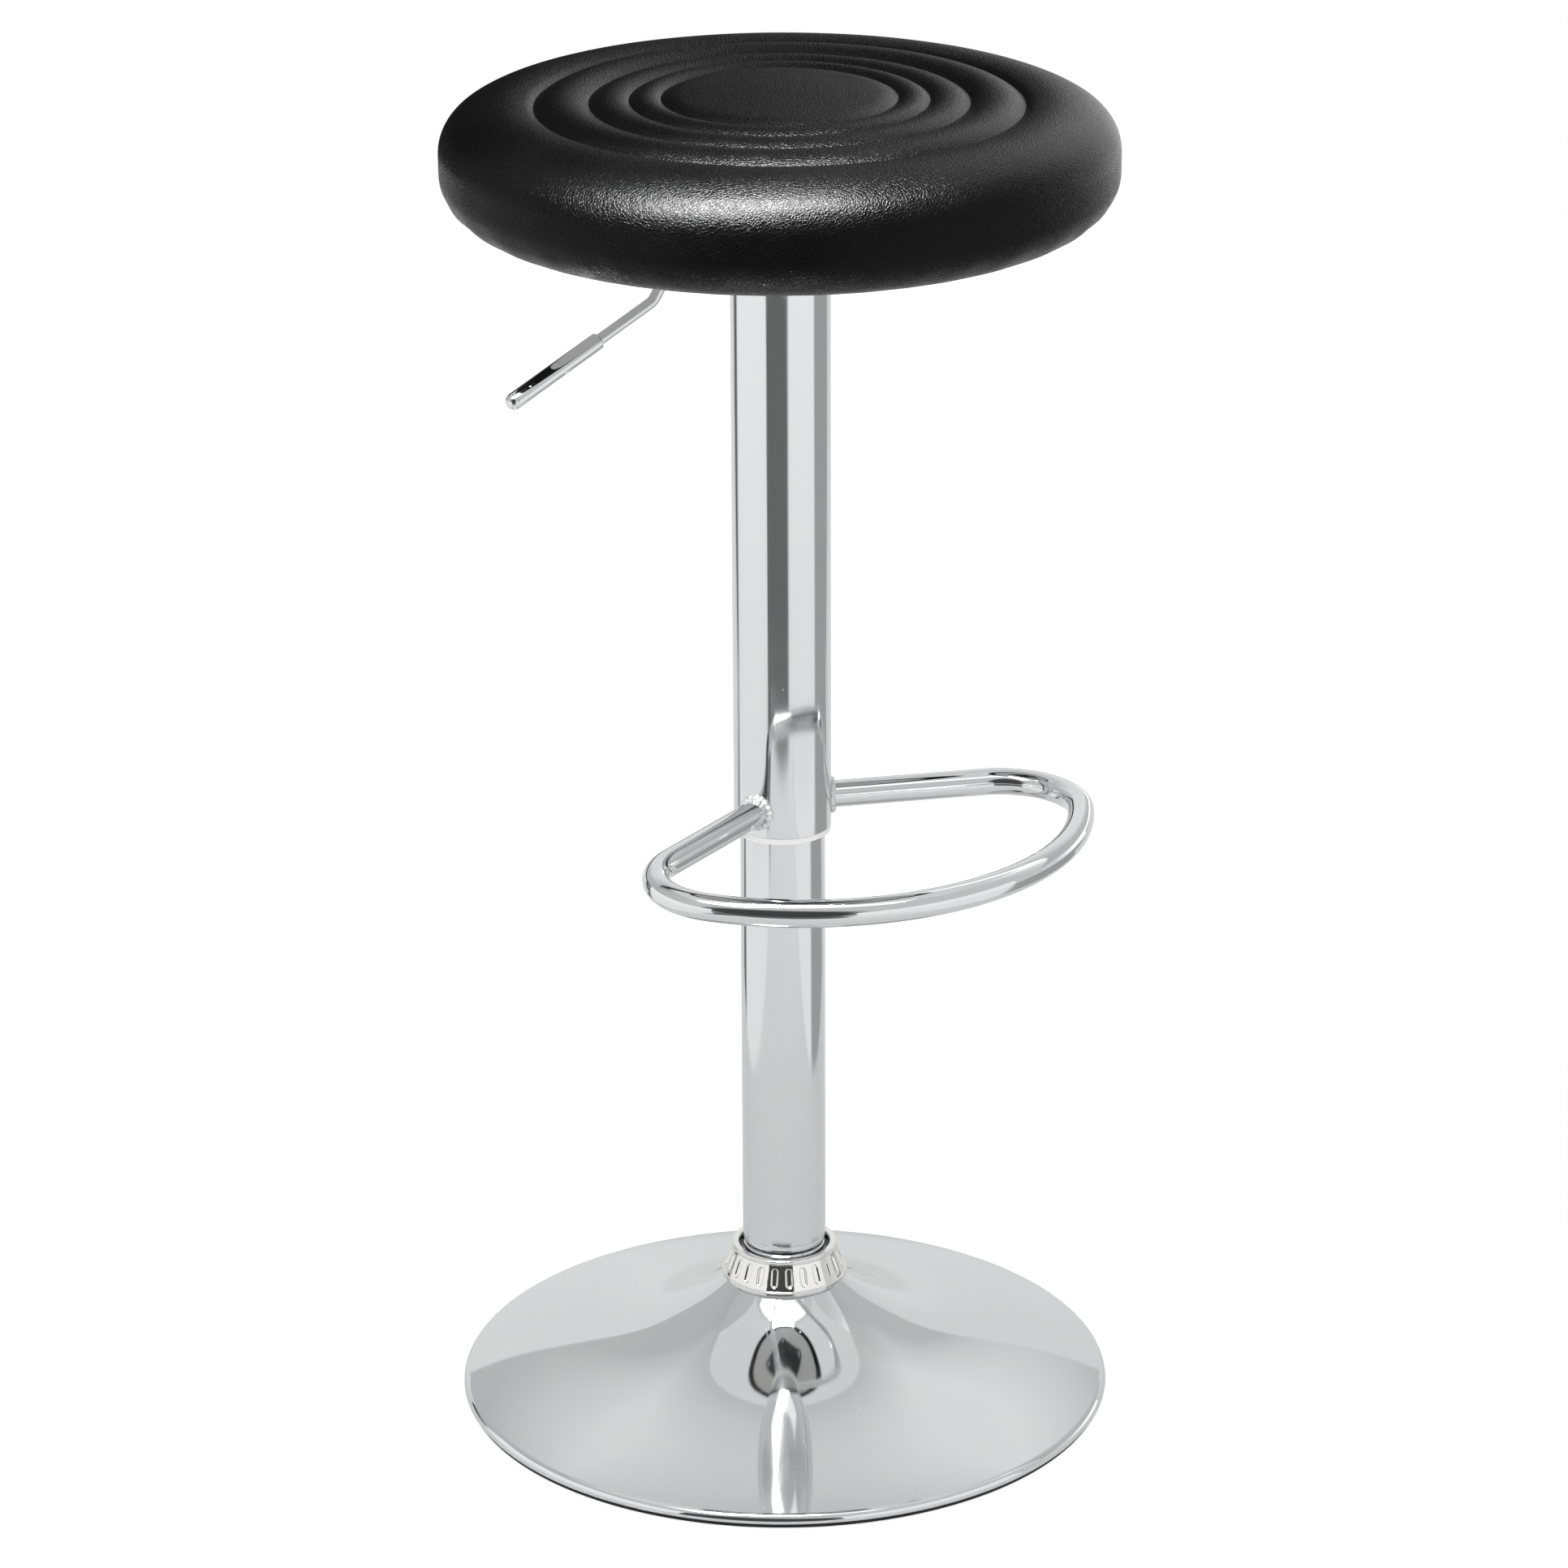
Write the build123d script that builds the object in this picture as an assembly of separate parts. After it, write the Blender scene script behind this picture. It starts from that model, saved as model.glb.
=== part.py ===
from build123d import *
import math
import os

# A gas-lift swivel bar stool, in millimetres with +Z up. The origin is on the floor, on the column's axis.
# The footrest loop points to -Y, the way a sitter faces, and the release lever to -X, at the right hand.

# Base: a spun sheet-steel disc that flares up to a neck, on a rubber ring, with a steel plate inside
BASE_RADIUS = 195.0
BASE_SHEET = 1.6
RIM_ROUND = 5.0
RIM_BOTTOM = 3.0
RIM_CENTRE_Z = 3.6
HEM_RADIUS = 183.0
RIM_SLOPE = math.radians(15.1)
NECK_SLOPE = math.radians(44.0)
FLARE = [(48.0, 59.2), (66.0, 47.4), (90.0, 35.4), (120.0, 25.5), (155.0, 17.1)]
NECK_RADIUS = 34.0
NECK_Z = 71.5
NECK_TOP = 75.0
FLOOR_RING_RADIUS = 193.5
FLOOR_RING_INNER = 184.0
FLOOR_RING_EDGE = 0.8
BALLAST_RADIUS = 182.0
BALLAST_BOTTOM = 2.5
BALLAST_TOP = 7.2
BALLAST_HOLE = 20.0
SOCKET_RADIUS = 29.5
SOCKET_TOP = 86.0
SOCKET_FLANGE_RADIUS = 55.0
SOCKET_FLANGE = 5.0

# Collar: a conical ring over the neck, with finger notches all round
COLLAR_FLANGE_RADIUS = 37.5
COLLAR_FLANGE = 3.0
COLLAR_TOP = 92.5
COLLAR_TOP_RADIUS = 31.7
COLLAR_TOP_BEAD = 3.2
COLLAR_BORE = 27.3
COLLAR_WALL = 2.0
NOTCH_COUNT = 24
NOTCH_LENGTH = 11.0
NOTCH_WIDTH = 4.0
NOTCH_DEPTH = 0.9

# Lower column and the turned plug that closes it
COLUMN_RADIUS = 25.0
COLUMN_BORE = 23.0
COLUMN_BOTTOM = 98.5
COLUMN_TOP = 440.0
THREAD_RADIUS = 22.0
PLUG_BOTTOM = 58.0
PLUG_RING_RADIUS = 24.4
PLUG_RING = 4.5
PLUG_GROOVE_RADIUS = 23.4
PLUG_GROOVE = 1.5
PLUG_FOOT_RING = 3.0
PLUG_TOP = 116.0
CLIP_POCKET_RADIUS = 12.0
CLIP_POCKET_TOP = 70.0
GUIDE_LENGTH = 75.0
GUIDE_FLANGE = 2.0

# Gas spring: the rod stands on the thrust bearing, and the cylinder goes up and down on its piston
LIFT_STROKE = 210.0
ROD_RADIUS = 5.0
ROD_BOTTOM = 61.0
ROD_NECK_RADIUS = 4.0
ROD_COLLAR_RADIUS = 8.0
ROD_COLLAR = 4.0
RUNNING_GAP = 0.1
RACE_RADIUS = 15.0
RACE_BORE = 6.0
RACE = 2.5
BALL_RADIUS = 2.5
BALL_GAP = 0.05
BALL_COUNT = 10
BALL_CIRCLE = 10.5
CAGE_INNER = 7.0
CAGE_OUTER = 14.0
CAGE = 1.6
BUFFER_RADIUS = 11.0
BUFFER = 12.0
CLIP_RADIUS = 8.0
CLIP = 1.6
CLIP_MOUTH = 5.0
WASHER_RADIUS = 11.0
WASHER = 2.4
CYLINDER_RADIUS = 14.0
CYLINDER_BORE = 12.0
CYLINDER_BOTTOM = 395.0
CYLINDER_LIP = 2.0
CYLINDER_LIP_BORE = 8.0
CYLINDER_TOP = 708.0
CYLINDER_CAP = 3.0
TAPER_BOTTOM = 650.0
TAPER_RATE = math.tan(math.radians(0.719))
GLAND = 18.0
PISTON = 12.0
PISTON_GAP = 3.0
PISTON_CLEARANCE = 0.2
PISTON_RING_SECTION = 1.2
NUT_FLATS = 12.0
NUT = 5.0
VALVE_CLEARANCE = 10.0
PIN_RADIUS = 4.0
PIN_BOTTOM = 690.0
PIN_TOP = 712.5
PIN_DOME = 8.0
PIN_SOCKET_BOTTOM = 684.0

# Upper column, its bush, and the footrest welded to it
SLEEVE_RADIUS = 28.75
SLEEVE_BORE = 27.25
SLEEVE_BOTTOM = 362.7
SLEEVE_TOP = 695.8
SLEEVE_DISC_BOTTOM = 681.0
SLEEVE_DISC = 8.0
BUSH_FLANGE_RADIUS = 28.4
BUSH_FLANGE = 3.7
BUSH_LENGTH = 38.0
BUSH_GAP = 0.1
FOOTREST_Z = 378.0
FOOTREST_TUBE = 8.0
FOOTREST_TUBE_BORE = 6.8
FOOTREST_HALF_ANGLE = math.radians(67.0)
FOOTREST_ARC_RADIUS = 160.0
FOOTREST_ARC_CENTRE = 24.0
FOOTREST_CORNER = 46.0
WELD_REACH = 33.0
WELD_RADIUS = 10.6
WELD_TIP_RADIUS = 8.3

# Seat mechanism: hub on the taper, channel, plate, and the lever that pushes the release pin
HUB_RADIUS = 19.0
HUB_BOTTOM = 692.0
HUB_TOP = 707.0
CHANNEL_BOTTOM = 696.0
CHANNEL_SHEET = 2.5
CHANNEL_HALF_WIDTH = 22.5
CHANNEL_BACK = 36.0
CHANNEL_FRONT = -46.0
CHANNEL_BEND = 4.0
PLATE_BOTTOM = 728.6
PLATE = 3.0
PLATE_SIDE = 150.0
PLATE_CORNER = 15.0
PLATE_RIB_LENGTH = 96.0
PLATE_RIB_WIDTH = 9.0
PLATE_RIB_DEPTH = 1.2
PLATE_RIB_OFFSET = 38.0
LEVER_ROD_RADIUS = 3.35
LEVER_Z = 716.0
LEVER_INNER_END = 3.0
LEVER_KNEE = (-72.0, LEVER_Z)
LEVER_ELBOW = (-86.5, 694.3)
LEVER_TIP = (-178.7, 652.9)
LEVER_BEND = 9.0
GRIP_RADIUS = 5.0
GRIP_LENGTH = 61.0
GRIP_EDGE = 0.6
GRIP_SEAM = 0.25
PIVOT_X = -29.0
PIVOT_Z = 709.2
PIVOT_RADIUS = 2.5
PIVOT_CLEARANCE = 0.05
BARREL_RADIUS = 5.0
BARREL_HALF_LENGTH = 17.0
PIVOT_HEAD_RADIUS = 4.5
PIVOT_HEAD = 2.0
PIVOT_TAIL = 4.0
PIVOT_CLIP_RADIUS = 5.0
PIVOT_CLIP = 1.0

# Seat: plywood board, foam, cover with four ring channels, dust cloth, bolts and staples
COVER = 1.2
BOARD_RADIUS = 168.0
BOARD_BOTTOM = 732.2
BOARD = 15.0
BOARD_EDGE = 3.0
SEAT_RADIUS = 192.0
SHOULDER_RADIUS = 23.0
SHOULDER_Z = 768.0
SHOULDER_ANGLE = math.radians(58.0)
ROLL_RADIUS = 59.0
ROLL_INNER_EDGE = 143.0
LOWER_RADIUS = 26.0
LOWER_Z = 757.0
CHANNEL_RINGS = [(66.6, 798.0), (84.5, 797.1), (107.0, 795.7), (138.0, 794.0)]
RING_RISE = 0.13
DISC_TOP = 803.0
DISC_SHOULDER = (54.0, 801.2)
HEM_INNER = 150.0
CLOTH = 0.6
CLOTH_RADIUS = 160.0
BOLT_SPACING = 120.0
BOLT_RADIUS = 3.0
BOLT_HOLE = 3.3
BOLT_LENGTH = 18.0
BOLT_FLATS = 10.0
BOLT_HEAD = 4.0
BOLT_WASHER_RADIUS = 8.0
BOLT_WASHER = 1.6
TEE_FLANGE_RADIUS = 9.0
TEE_FLANGE = 1.2
TEE_BARREL_RADIUS = 4.0
TEE_BARREL = 10.0
TEE_THREAD = 3.05
STAPLE_COUNT = 40
STAPLE_CIRCLE = 155.0
STAPLE_CROWN = 10.0
STAPLE_WIDTH = 1.2
STAPLE_WIRE = 0.6
STAPLE_LEG = 7.0

# A primitive that stands on its own origin
STANDING = (Align.CENTER, Align.CENTER, Align.MIN)


def ring(outer, inner, bottom, top):
    """A round piece with a bore, standing on the column's axis."""
    section = Circle(outer) - Circle(inner)
    return extrude(Pos(0, 0, bottom) * section, amount=top - bottom)


def disc(radius, bottom, top):
    """A round solid piece on the column's axis."""
    return extrude(Pos(0, 0, bottom) * Circle(radius), amount=top - bottom)


def turned(edges):
    """A turned piece: closed edges in (radius, height) spun round the column's axis."""
    return revolve(make_face(Plane.XZ * (Curve() + edges)), Axis.Z)


def turned_points(points):
    """A turned piece whose section has straight sides only."""
    return turned([Polyline(*points, close=True)])


def around(count, piece):
    """Copies of a piece, evenly spaced round the column's axis, kept as separate solids."""
    step = 360.0 / count
    return Compound(children=[Rot(0, 0, step * index) * piece for index in range(count)])


def at_bolts(piece):
    """One copy of a piece on each of the four seat bolts' axes."""
    return [place * piece for place in GridLocations(BOLT_SPACING, BOLT_SPACING, 2, 2)]


def normal(slope):
    """The upward normal, in (radius, height), of a surface that falls outwards at this slope."""
    return (math.sin(slope), math.cos(slope))


def moved(point, distance, slope):
    """A point moved along that normal."""
    across, up = normal(slope)
    return (point[0] + distance * across, point[1] + distance * up)


def floor_ring():
    body = ring(FLOOR_RING_RADIUS, FLOOR_RING_INNER, 0, RIM_BOTTOM)
    return fillet(body.edges().group_by(Axis.Z)[0].sort_by(SortBy.RADIUS)[-1], FLOOR_RING_EDGE)


def fall(slope, way=1):
    """The direction, in (radius, height), of a surface that falls outwards at this slope."""
    return (way * math.cos(slope), -way * math.sin(slope))


def base_shell():
    rim = (BASE_RADIUS - RIM_ROUND, RIM_CENTRE_Z)
    rim_slope = (math.pi / 2 + RIM_SLOPE) / 2
    inner_round = RIM_ROUND - BASE_SHEET
    hem_top = RIM_BOTTOM + BASE_SHEET
    hem_slope = math.acos((hem_top - RIM_CENTRE_Z) / inner_round)
    inner_slope = (hem_slope + RIM_SLOPE) / 2
    neck = (NECK_RADIUS, NECK_Z)
    inner_neck = (NECK_RADIUS - BASE_SHEET, NECK_Z - BASE_SHEET / math.tan(NECK_SLOPE / 2 + math.pi / 4))
    flare = Spline(neck, *FLARE, moved(rim, RIM_ROUND, RIM_SLOPE), tangents=[fall(NECK_SLOPE), fall(RIM_SLOPE)])
    under = []
    for step in range(13):
        point, along = flare @ (step / 12), flare % (step / 12)
        under.append(moved((point.X, point.Y), -BASE_SHEET, math.atan2(-along.Y, along.X)))
    outside = [
        Line((NECK_RADIUS, NECK_TOP), neck),
        flare,
        ThreePointArc(*[moved(rim, RIM_ROUND, slope) for slope in (RIM_SLOPE, rim_slope, math.pi / 2)]),
        Line((BASE_RADIUS, RIM_CENTRE_Z), (BASE_RADIUS, RIM_BOTTOM)),
    ]
    hem = [
        Line((BASE_RADIUS, RIM_BOTTOM), (HEM_RADIUS, RIM_BOTTOM)),
        Line((HEM_RADIUS, RIM_BOTTOM), (HEM_RADIUS, hem_top)),
        Line((HEM_RADIUS, hem_top), moved(rim, inner_round, hem_slope)),
    ]
    inside = [
        ThreePointArc(*[moved(rim, inner_round, slope) for slope in (hem_slope, inner_slope, RIM_SLOPE)]),
        Spline(*reversed(under), tangents=[fall(RIM_SLOPE, -1), fall(NECK_SLOPE, -1)]),
        Line(under[0], inner_neck),
        Line(inner_neck, (NECK_RADIUS - BASE_SHEET, NECK_TOP)),
        Line((NECK_RADIUS - BASE_SHEET, NECK_TOP), (NECK_RADIUS, NECK_TOP)),
    ]
    return turned(outside + hem + inside)


def base_ballast():
    return ring(BALLAST_RADIUS, BALLAST_HOLE, BALLAST_BOTTOM, BALLAST_TOP)


def column_socket():
    tube = ring(SOCKET_RADIUS, THREAD_RADIUS, BALLAST_TOP, SOCKET_TOP)
    flange = ring(SOCKET_FLANGE_RADIUS, THREAD_RADIUS, BALLAST_TOP, BALLAST_TOP + SOCKET_FLANGE)
    return tube + flange


def base_collar():
    cone_bottom = (COLLAR_FLANGE_RADIUS - COLLAR_WALL / 2, NECK_Z + COLLAR_FLANGE)
    cone_top = (COLLAR_TOP_RADIUS - COLLAR_WALL / 2, COLLAR_TOP - COLLAR_TOP_BEAD)
    shell = turned_points([
        (NECK_RADIUS, NECK_Z),
        (COLLAR_FLANGE_RADIUS, NECK_Z),
        (COLLAR_FLANGE_RADIUS, NECK_Z + COLLAR_FLANGE),
        cone_bottom,
        cone_top,
        (COLLAR_TOP_RADIUS, COLLAR_TOP - COLLAR_TOP_BEAD),
        (COLLAR_TOP_RADIUS, COLLAR_TOP),
        (COLLAR_BORE, COLLAR_TOP),
        (COLLAR_BORE, COLLAR_TOP - COLLAR_WALL),
        (cone_top[0] - COLLAR_WALL, COLLAR_TOP - COLLAR_WALL),
        (NECK_RADIUS, NECK_TOP),
    ])
    lean = math.degrees(math.atan2(cone_bottom[0] - cone_top[0], cone_top[1] - cone_bottom[1]))
    middle = ((cone_bottom[0] + cone_top[0]) / 2, (cone_bottom[1] + cone_top[1]) / 2)
    face = Pos(middle[0], 0, middle[1]) * Rot(0, 90 - lean, 0)
    slot = SlotOverall(NOTCH_LENGTH, NOTCH_WIDTH)
    notch = face * Pos(0, 0, -NOTCH_DEPTH) * extrude(slot, amount=2 * NOTCH_DEPTH)
    return shell - [Rot(0, 0, 360.0 / NOTCH_COUNT * index) * notch for index in range(NOTCH_COUNT)]


def column_plug():
    ring_bottom = COLUMN_BOTTOM - PLUG_RING
    groove_bottom = ring_bottom - PLUG_GROOVE
    foot_bottom = groove_bottom - PLUG_FOOT_RING
    return turned_points([
        (ROD_RADIUS + RUNNING_GAP, PLUG_TOP),
        (COLUMN_BORE, PLUG_TOP),
        (COLUMN_BORE, COLUMN_BOTTOM),
        (PLUG_RING_RADIUS, COLUMN_BOTTOM),
        (PLUG_RING_RADIUS, ring_bottom + PLUG_GROOVE / 2),
        (PLUG_GROOVE_RADIUS, ring_bottom),
        (PLUG_GROOVE_RADIUS, groove_bottom),
        (PLUG_RING_RADIUS, groove_bottom - PLUG_GROOVE / 2),
        (PLUG_RING_RADIUS, foot_bottom),
        (THREAD_RADIUS, foot_bottom),
        (THREAD_RADIUS, PLUG_BOTTOM),
        (CLIP_POCKET_RADIUS, PLUG_BOTTOM),
        (CLIP_POCKET_RADIUS, CLIP_POCKET_TOP),
        (ROD_RADIUS + RUNNING_GAP, CLIP_POCKET_TOP),
    ])


def lower_column():
    return ring(COLUMN_RADIUS, COLUMN_BORE, COLUMN_BOTTOM, COLUMN_TOP)


def column_guide():
    bore = CYLINDER_RADIUS + RUNNING_GAP
    sleeve = ring(COLUMN_BORE, bore, COLUMN_TOP - GUIDE_LENGTH, COLUMN_TOP + GUIDE_FLANGE)
    return sleeve + ring(COLUMN_RADIUS, bore, COLUMN_TOP, COLUMN_TOP + GUIDE_FLANGE)


RACE_TOP = PLUG_TOP + RACE
BALL_Z = RACE_TOP + BALL_RADIUS
UPPER_RACE_BOTTOM = BALL_Z + BALL_RADIUS
UPPER_RACE_TOP = UPPER_RACE_BOTTOM + RACE


def bearing_lower_race():
    return ring(RACE_RADIUS, RACE_BORE, PLUG_TOP, RACE_TOP)


def bearing_balls():
    return around(BALL_COUNT, Pos(BALL_CIRCLE, 0, BALL_Z) * Sphere(BALL_RADIUS - BALL_GAP))


def bearing_cage():
    hole = Pos(BALL_CIRCLE, 0, BALL_Z) * Cylinder(BALL_RADIUS, 2 * CAGE)
    holes = [Rot(0, 0, 360.0 / BALL_COUNT * index) * hole for index in range(BALL_COUNT)]
    return ring(CAGE_OUTER, CAGE_INNER, BALL_Z - CAGE / 2, BALL_Z + CAGE / 2) - holes


def bearing_upper_race():
    return ring(RACE_RADIUS, RACE_BORE, UPPER_RACE_BOTTOM, UPPER_RACE_TOP)


ROD_COLLAR_TOP = UPPER_RACE_TOP + ROD_COLLAR
WASHER_TOP = CLIP_POCKET_TOP - 2 * RUNNING_GAP
CLIP_TOP = WASHER_TOP - WASHER
CLIP_BOTTOM = CLIP_TOP - CLIP
GLAND_TOP = CYLINDER_BOTTOM + CYLINDER_LIP + GLAND
PISTON_BOTTOM = GLAND_TOP + PISTON_GAP
PISTON_TOP = PISTON_BOTTOM + PISTON
NUT_TOP = PISTON_TOP + NUT
VALVE_BOTTOM = NUT_TOP + LIFT_STROKE + VALVE_CLEARANCE


def piston_rod():
    shaft = turned_points([
        (0, ROD_BOTTOM),
        (ROD_RADIUS, ROD_BOTTOM),
        (ROD_RADIUS, CLIP_BOTTOM),
        (ROD_NECK_RADIUS, CLIP_BOTTOM),
        (ROD_NECK_RADIUS, CLIP_TOP),
        (ROD_RADIUS, CLIP_TOP),
        (ROD_RADIUS, UPPER_RACE_TOP),
        (ROD_COLLAR_RADIUS, UPPER_RACE_TOP),
        (ROD_COLLAR_RADIUS, ROD_COLLAR_TOP),
        (ROD_RADIUS, ROD_COLLAR_TOP),
        (ROD_RADIUS, PISTON_BOTTOM),
        (ROD_NECK_RADIUS, PISTON_BOTTOM),
        (ROD_NECK_RADIUS, NUT_TOP),
        (0, NUT_TOP),
    ])
    return shaft


def piston():
    body = ring(CYLINDER_BORE - PISTON_CLEARANCE, ROD_NECK_RADIUS, PISTON_BOTTOM, PISTON_TOP)
    middle = (PISTON_BOTTOM + PISTON_TOP) / 2
    groove = CYLINDER_BORE - 2 * PISTON_RING_SECTION
    return body - ring(CYLINDER_BORE, groove, middle - PISTON_RING_SECTION, middle + PISTON_RING_SECTION)


def piston_ring():
    middle = (PISTON_BOTTOM + PISTON_TOP) / 2
    outer = CYLINDER_BORE - RUNNING_GAP
    inner = CYLINDER_BORE - 2 * PISTON_RING_SECTION
    return ring(outer, inner, middle - PISTON_RING_SECTION, middle + PISTON_RING_SECTION)


def piston_nut():
    section = RegularPolygon(NUT_FLATS / 2, 6, major_radius=False) - Circle(ROD_NECK_RADIUS)
    return extrude(Pos(0, 0, PISTON_TOP) * section, amount=NUT)


def rod_buffer():
    return ring(BUFFER_RADIUS, ROD_RADIUS, ROD_COLLAR_TOP, ROD_COLLAR_TOP + BUFFER)


def rod_washer():
    return ring(WASHER_RADIUS, ROD_RADIUS, CLIP_TOP, WASHER_TOP)


def rod_clip():
    mouth = Pos(CLIP_RADIUS, 0, CLIP_TOP) * Box(2 * CLIP_RADIUS, CLIP_MOUTH, 4 * CLIP)
    return ring(CLIP_RADIUS, ROD_NECK_RADIUS, CLIP_BOTTOM, CLIP_TOP) - mouth


def taper_radius(height):
    """Radius of the gas cylinder's taper at a height."""
    return CYLINDER_RADIUS - (height - TAPER_BOTTOM) * TAPER_RATE


def gas_cylinder():
    cap_bottom = CYLINDER_TOP - CYLINDER_CAP
    pin_hole = PIN_RADIUS + RUNNING_GAP
    return turned_points([
        (CYLINDER_LIP_BORE, CYLINDER_BOTTOM),
        (CYLINDER_RADIUS, CYLINDER_BOTTOM),
        (CYLINDER_RADIUS, TAPER_BOTTOM),
        (taper_radius(CYLINDER_TOP), CYLINDER_TOP),
        (pin_hole, CYLINDER_TOP),
        (pin_hole, cap_bottom),
        (CYLINDER_BORE, cap_bottom),
        (CYLINDER_BORE, CYLINDER_BOTTOM + CYLINDER_LIP),
        (CYLINDER_LIP_BORE, CYLINDER_BOTTOM + CYLINDER_LIP),
    ])


def cylinder_gland():
    return ring(CYLINDER_BORE, ROD_RADIUS + RUNNING_GAP, CYLINDER_BOTTOM + CYLINDER_LIP, GLAND_TOP)


def valve_body():
    cap_bottom = CYLINDER_TOP - CYLINDER_CAP
    socket = PIN_RADIUS + RUNNING_GAP
    return disc(CYLINDER_BORE, VALVE_BOTTOM, cap_bottom) - disc(socket, PIN_SOCKET_BOTTOM, cap_bottom)


def release_pin():
    side_top = PIN_TOP - PIN_DOME + math.sqrt(PIN_DOME ** 2 - PIN_RADIUS ** 2)
    half_turn = math.asin(PIN_RADIUS / PIN_DOME) / 2
    dome_middle = moved((0, PIN_TOP - PIN_DOME), PIN_DOME, half_turn)
    return turned([
        Polyline((0, PIN_TOP), (0, PIN_BOTTOM), (PIN_RADIUS, PIN_BOTTOM), (PIN_RADIUS, side_top)),
        ThreePointArc((PIN_RADIUS, side_top), dome_middle, (0, PIN_TOP)),
    ])


def upper_column():
    return ring(SLEEVE_RADIUS, SLEEVE_BORE, SLEEVE_BOTTOM, SLEEVE_TOP)


def upper_column_disc():
    top = SLEEVE_DISC_BOTTOM + SLEEVE_DISC
    return turned_points([
        (taper_radius(SLEEVE_DISC_BOTTOM), SLEEVE_DISC_BOTTOM),
        (SLEEVE_BORE, SLEEVE_DISC_BOTTOM),
        (SLEEVE_BORE, top),
        (taper_radius(top), top),
    ])


def slide_bush():
    bore = COLUMN_RADIUS + BUSH_GAP
    flange = ring(BUSH_FLANGE_RADIUS, bore, SLEEVE_BOTTOM - BUSH_FLANGE, SLEEVE_BOTTOM)
    return flange + ring(SLEEVE_BORE, bore, SLEEVE_BOTTOM, SLEEVE_BOTTOM + BUSH_LENGTH)


def footrest_right():
    """Points of the loop's right half: arm start, arm end, corner middle, corner end, front middle."""
    arm = Vector(math.sin(FOOTREST_HALF_ANGLE), -math.cos(FOOTREST_HALF_ANGLE))
    inward = Vector(-arm.Y, arm.X) * -1
    front_centre = Vector(0, -FOOTREST_ARC_CENTRE)
    reach = FOOTREST_ARC_RADIUS - FOOTREST_CORNER
    along = front_centre.dot(arm)
    across = FOOTREST_CORNER - front_centre.dot(inward)
    corner_centre = arm * (along + math.sqrt(reach ** 2 - across ** 2)) + inward * FOOTREST_CORNER
    arm_end = corner_centre - inward * FOOTREST_CORNER
    outward = (corner_centre - front_centre).normalized()
    corner_end = corner_centre + outward * FOOTREST_CORNER
    corner_middle = corner_centre + (outward - inward).normalized() * FOOTREST_CORNER
    front = front_centre - Vector(0, FOOTREST_ARC_RADIUS)
    return [arm * SLEEVE_BORE, arm_end, corner_middle, corner_end, front]


def footrest():
    start, arm_end, corner_middle, corner_end, front = footrest_right()
    left = [Vector(-point.X, point.Y) for point in (start, arm_end, corner_middle, corner_end)]
    path = Pos(0, 0, FOOTREST_Z) * (Curve() + [
        Line(start, arm_end),
        ThreePointArc(arm_end, corner_middle, corner_end),
        ThreePointArc(corner_end, front, left[3]),
        ThreePointArc(left[3], left[2], left[1]),
        Line(left[1], left[0]),
    ])
    wire = path.wire()
    section = Plane(origin=wire @ 0, z_dir=wire % 0) * (Circle(FOOTREST_TUBE) - Circle(FOOTREST_TUBE_BORE))
    return sweep(section, path=wire) - disc(SLEEVE_RADIUS, SLEEVE_BOTTOM, SLEEVE_TOP)


def footrest_welds():
    height = WELD_REACH - SLEEVE_BORE
    cone = Cone(WELD_RADIUS, WELD_TIP_RADIUS, height, align=STANDING)
    bead = Pos(0, 0, SLEEVE_BORE) * cone - Cylinder(FOOTREST_TUBE, 2 * WELD_REACH)
    beads = []
    for side in (-1, 1):
        arm = Vector(side * math.sin(FOOTREST_HALF_ANGLE), -math.cos(FOOTREST_HALF_ANGLE), 0)
        placed = Plane(origin=(0, 0, FOOTREST_Z), z_dir=arm) * bead
        beads.append(placed - disc(SLEEVE_RADIUS, SLEEVE_BOTTOM, SLEEVE_TOP))
    return Compound(children=[bead.solid() for bead in beads])


def taper_hub():
    return turned_points([
        (taper_radius(HUB_BOTTOM), HUB_BOTTOM),
        (HUB_RADIUS, HUB_BOTTOM),
        (HUB_RADIUS, HUB_TOP),
        (taper_radius(HUB_TOP), HUB_TOP),
    ])


def pivot_hole(radius):
    """A bore along the lever's pivot axis, right through the channel."""
    axis = Plane(origin=(PIVOT_X, 0, PIVOT_Z), z_dir=(0, 1, 0))
    return axis * Cylinder(radius, 4 * CHANNEL_HALF_WIDTH)


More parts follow.
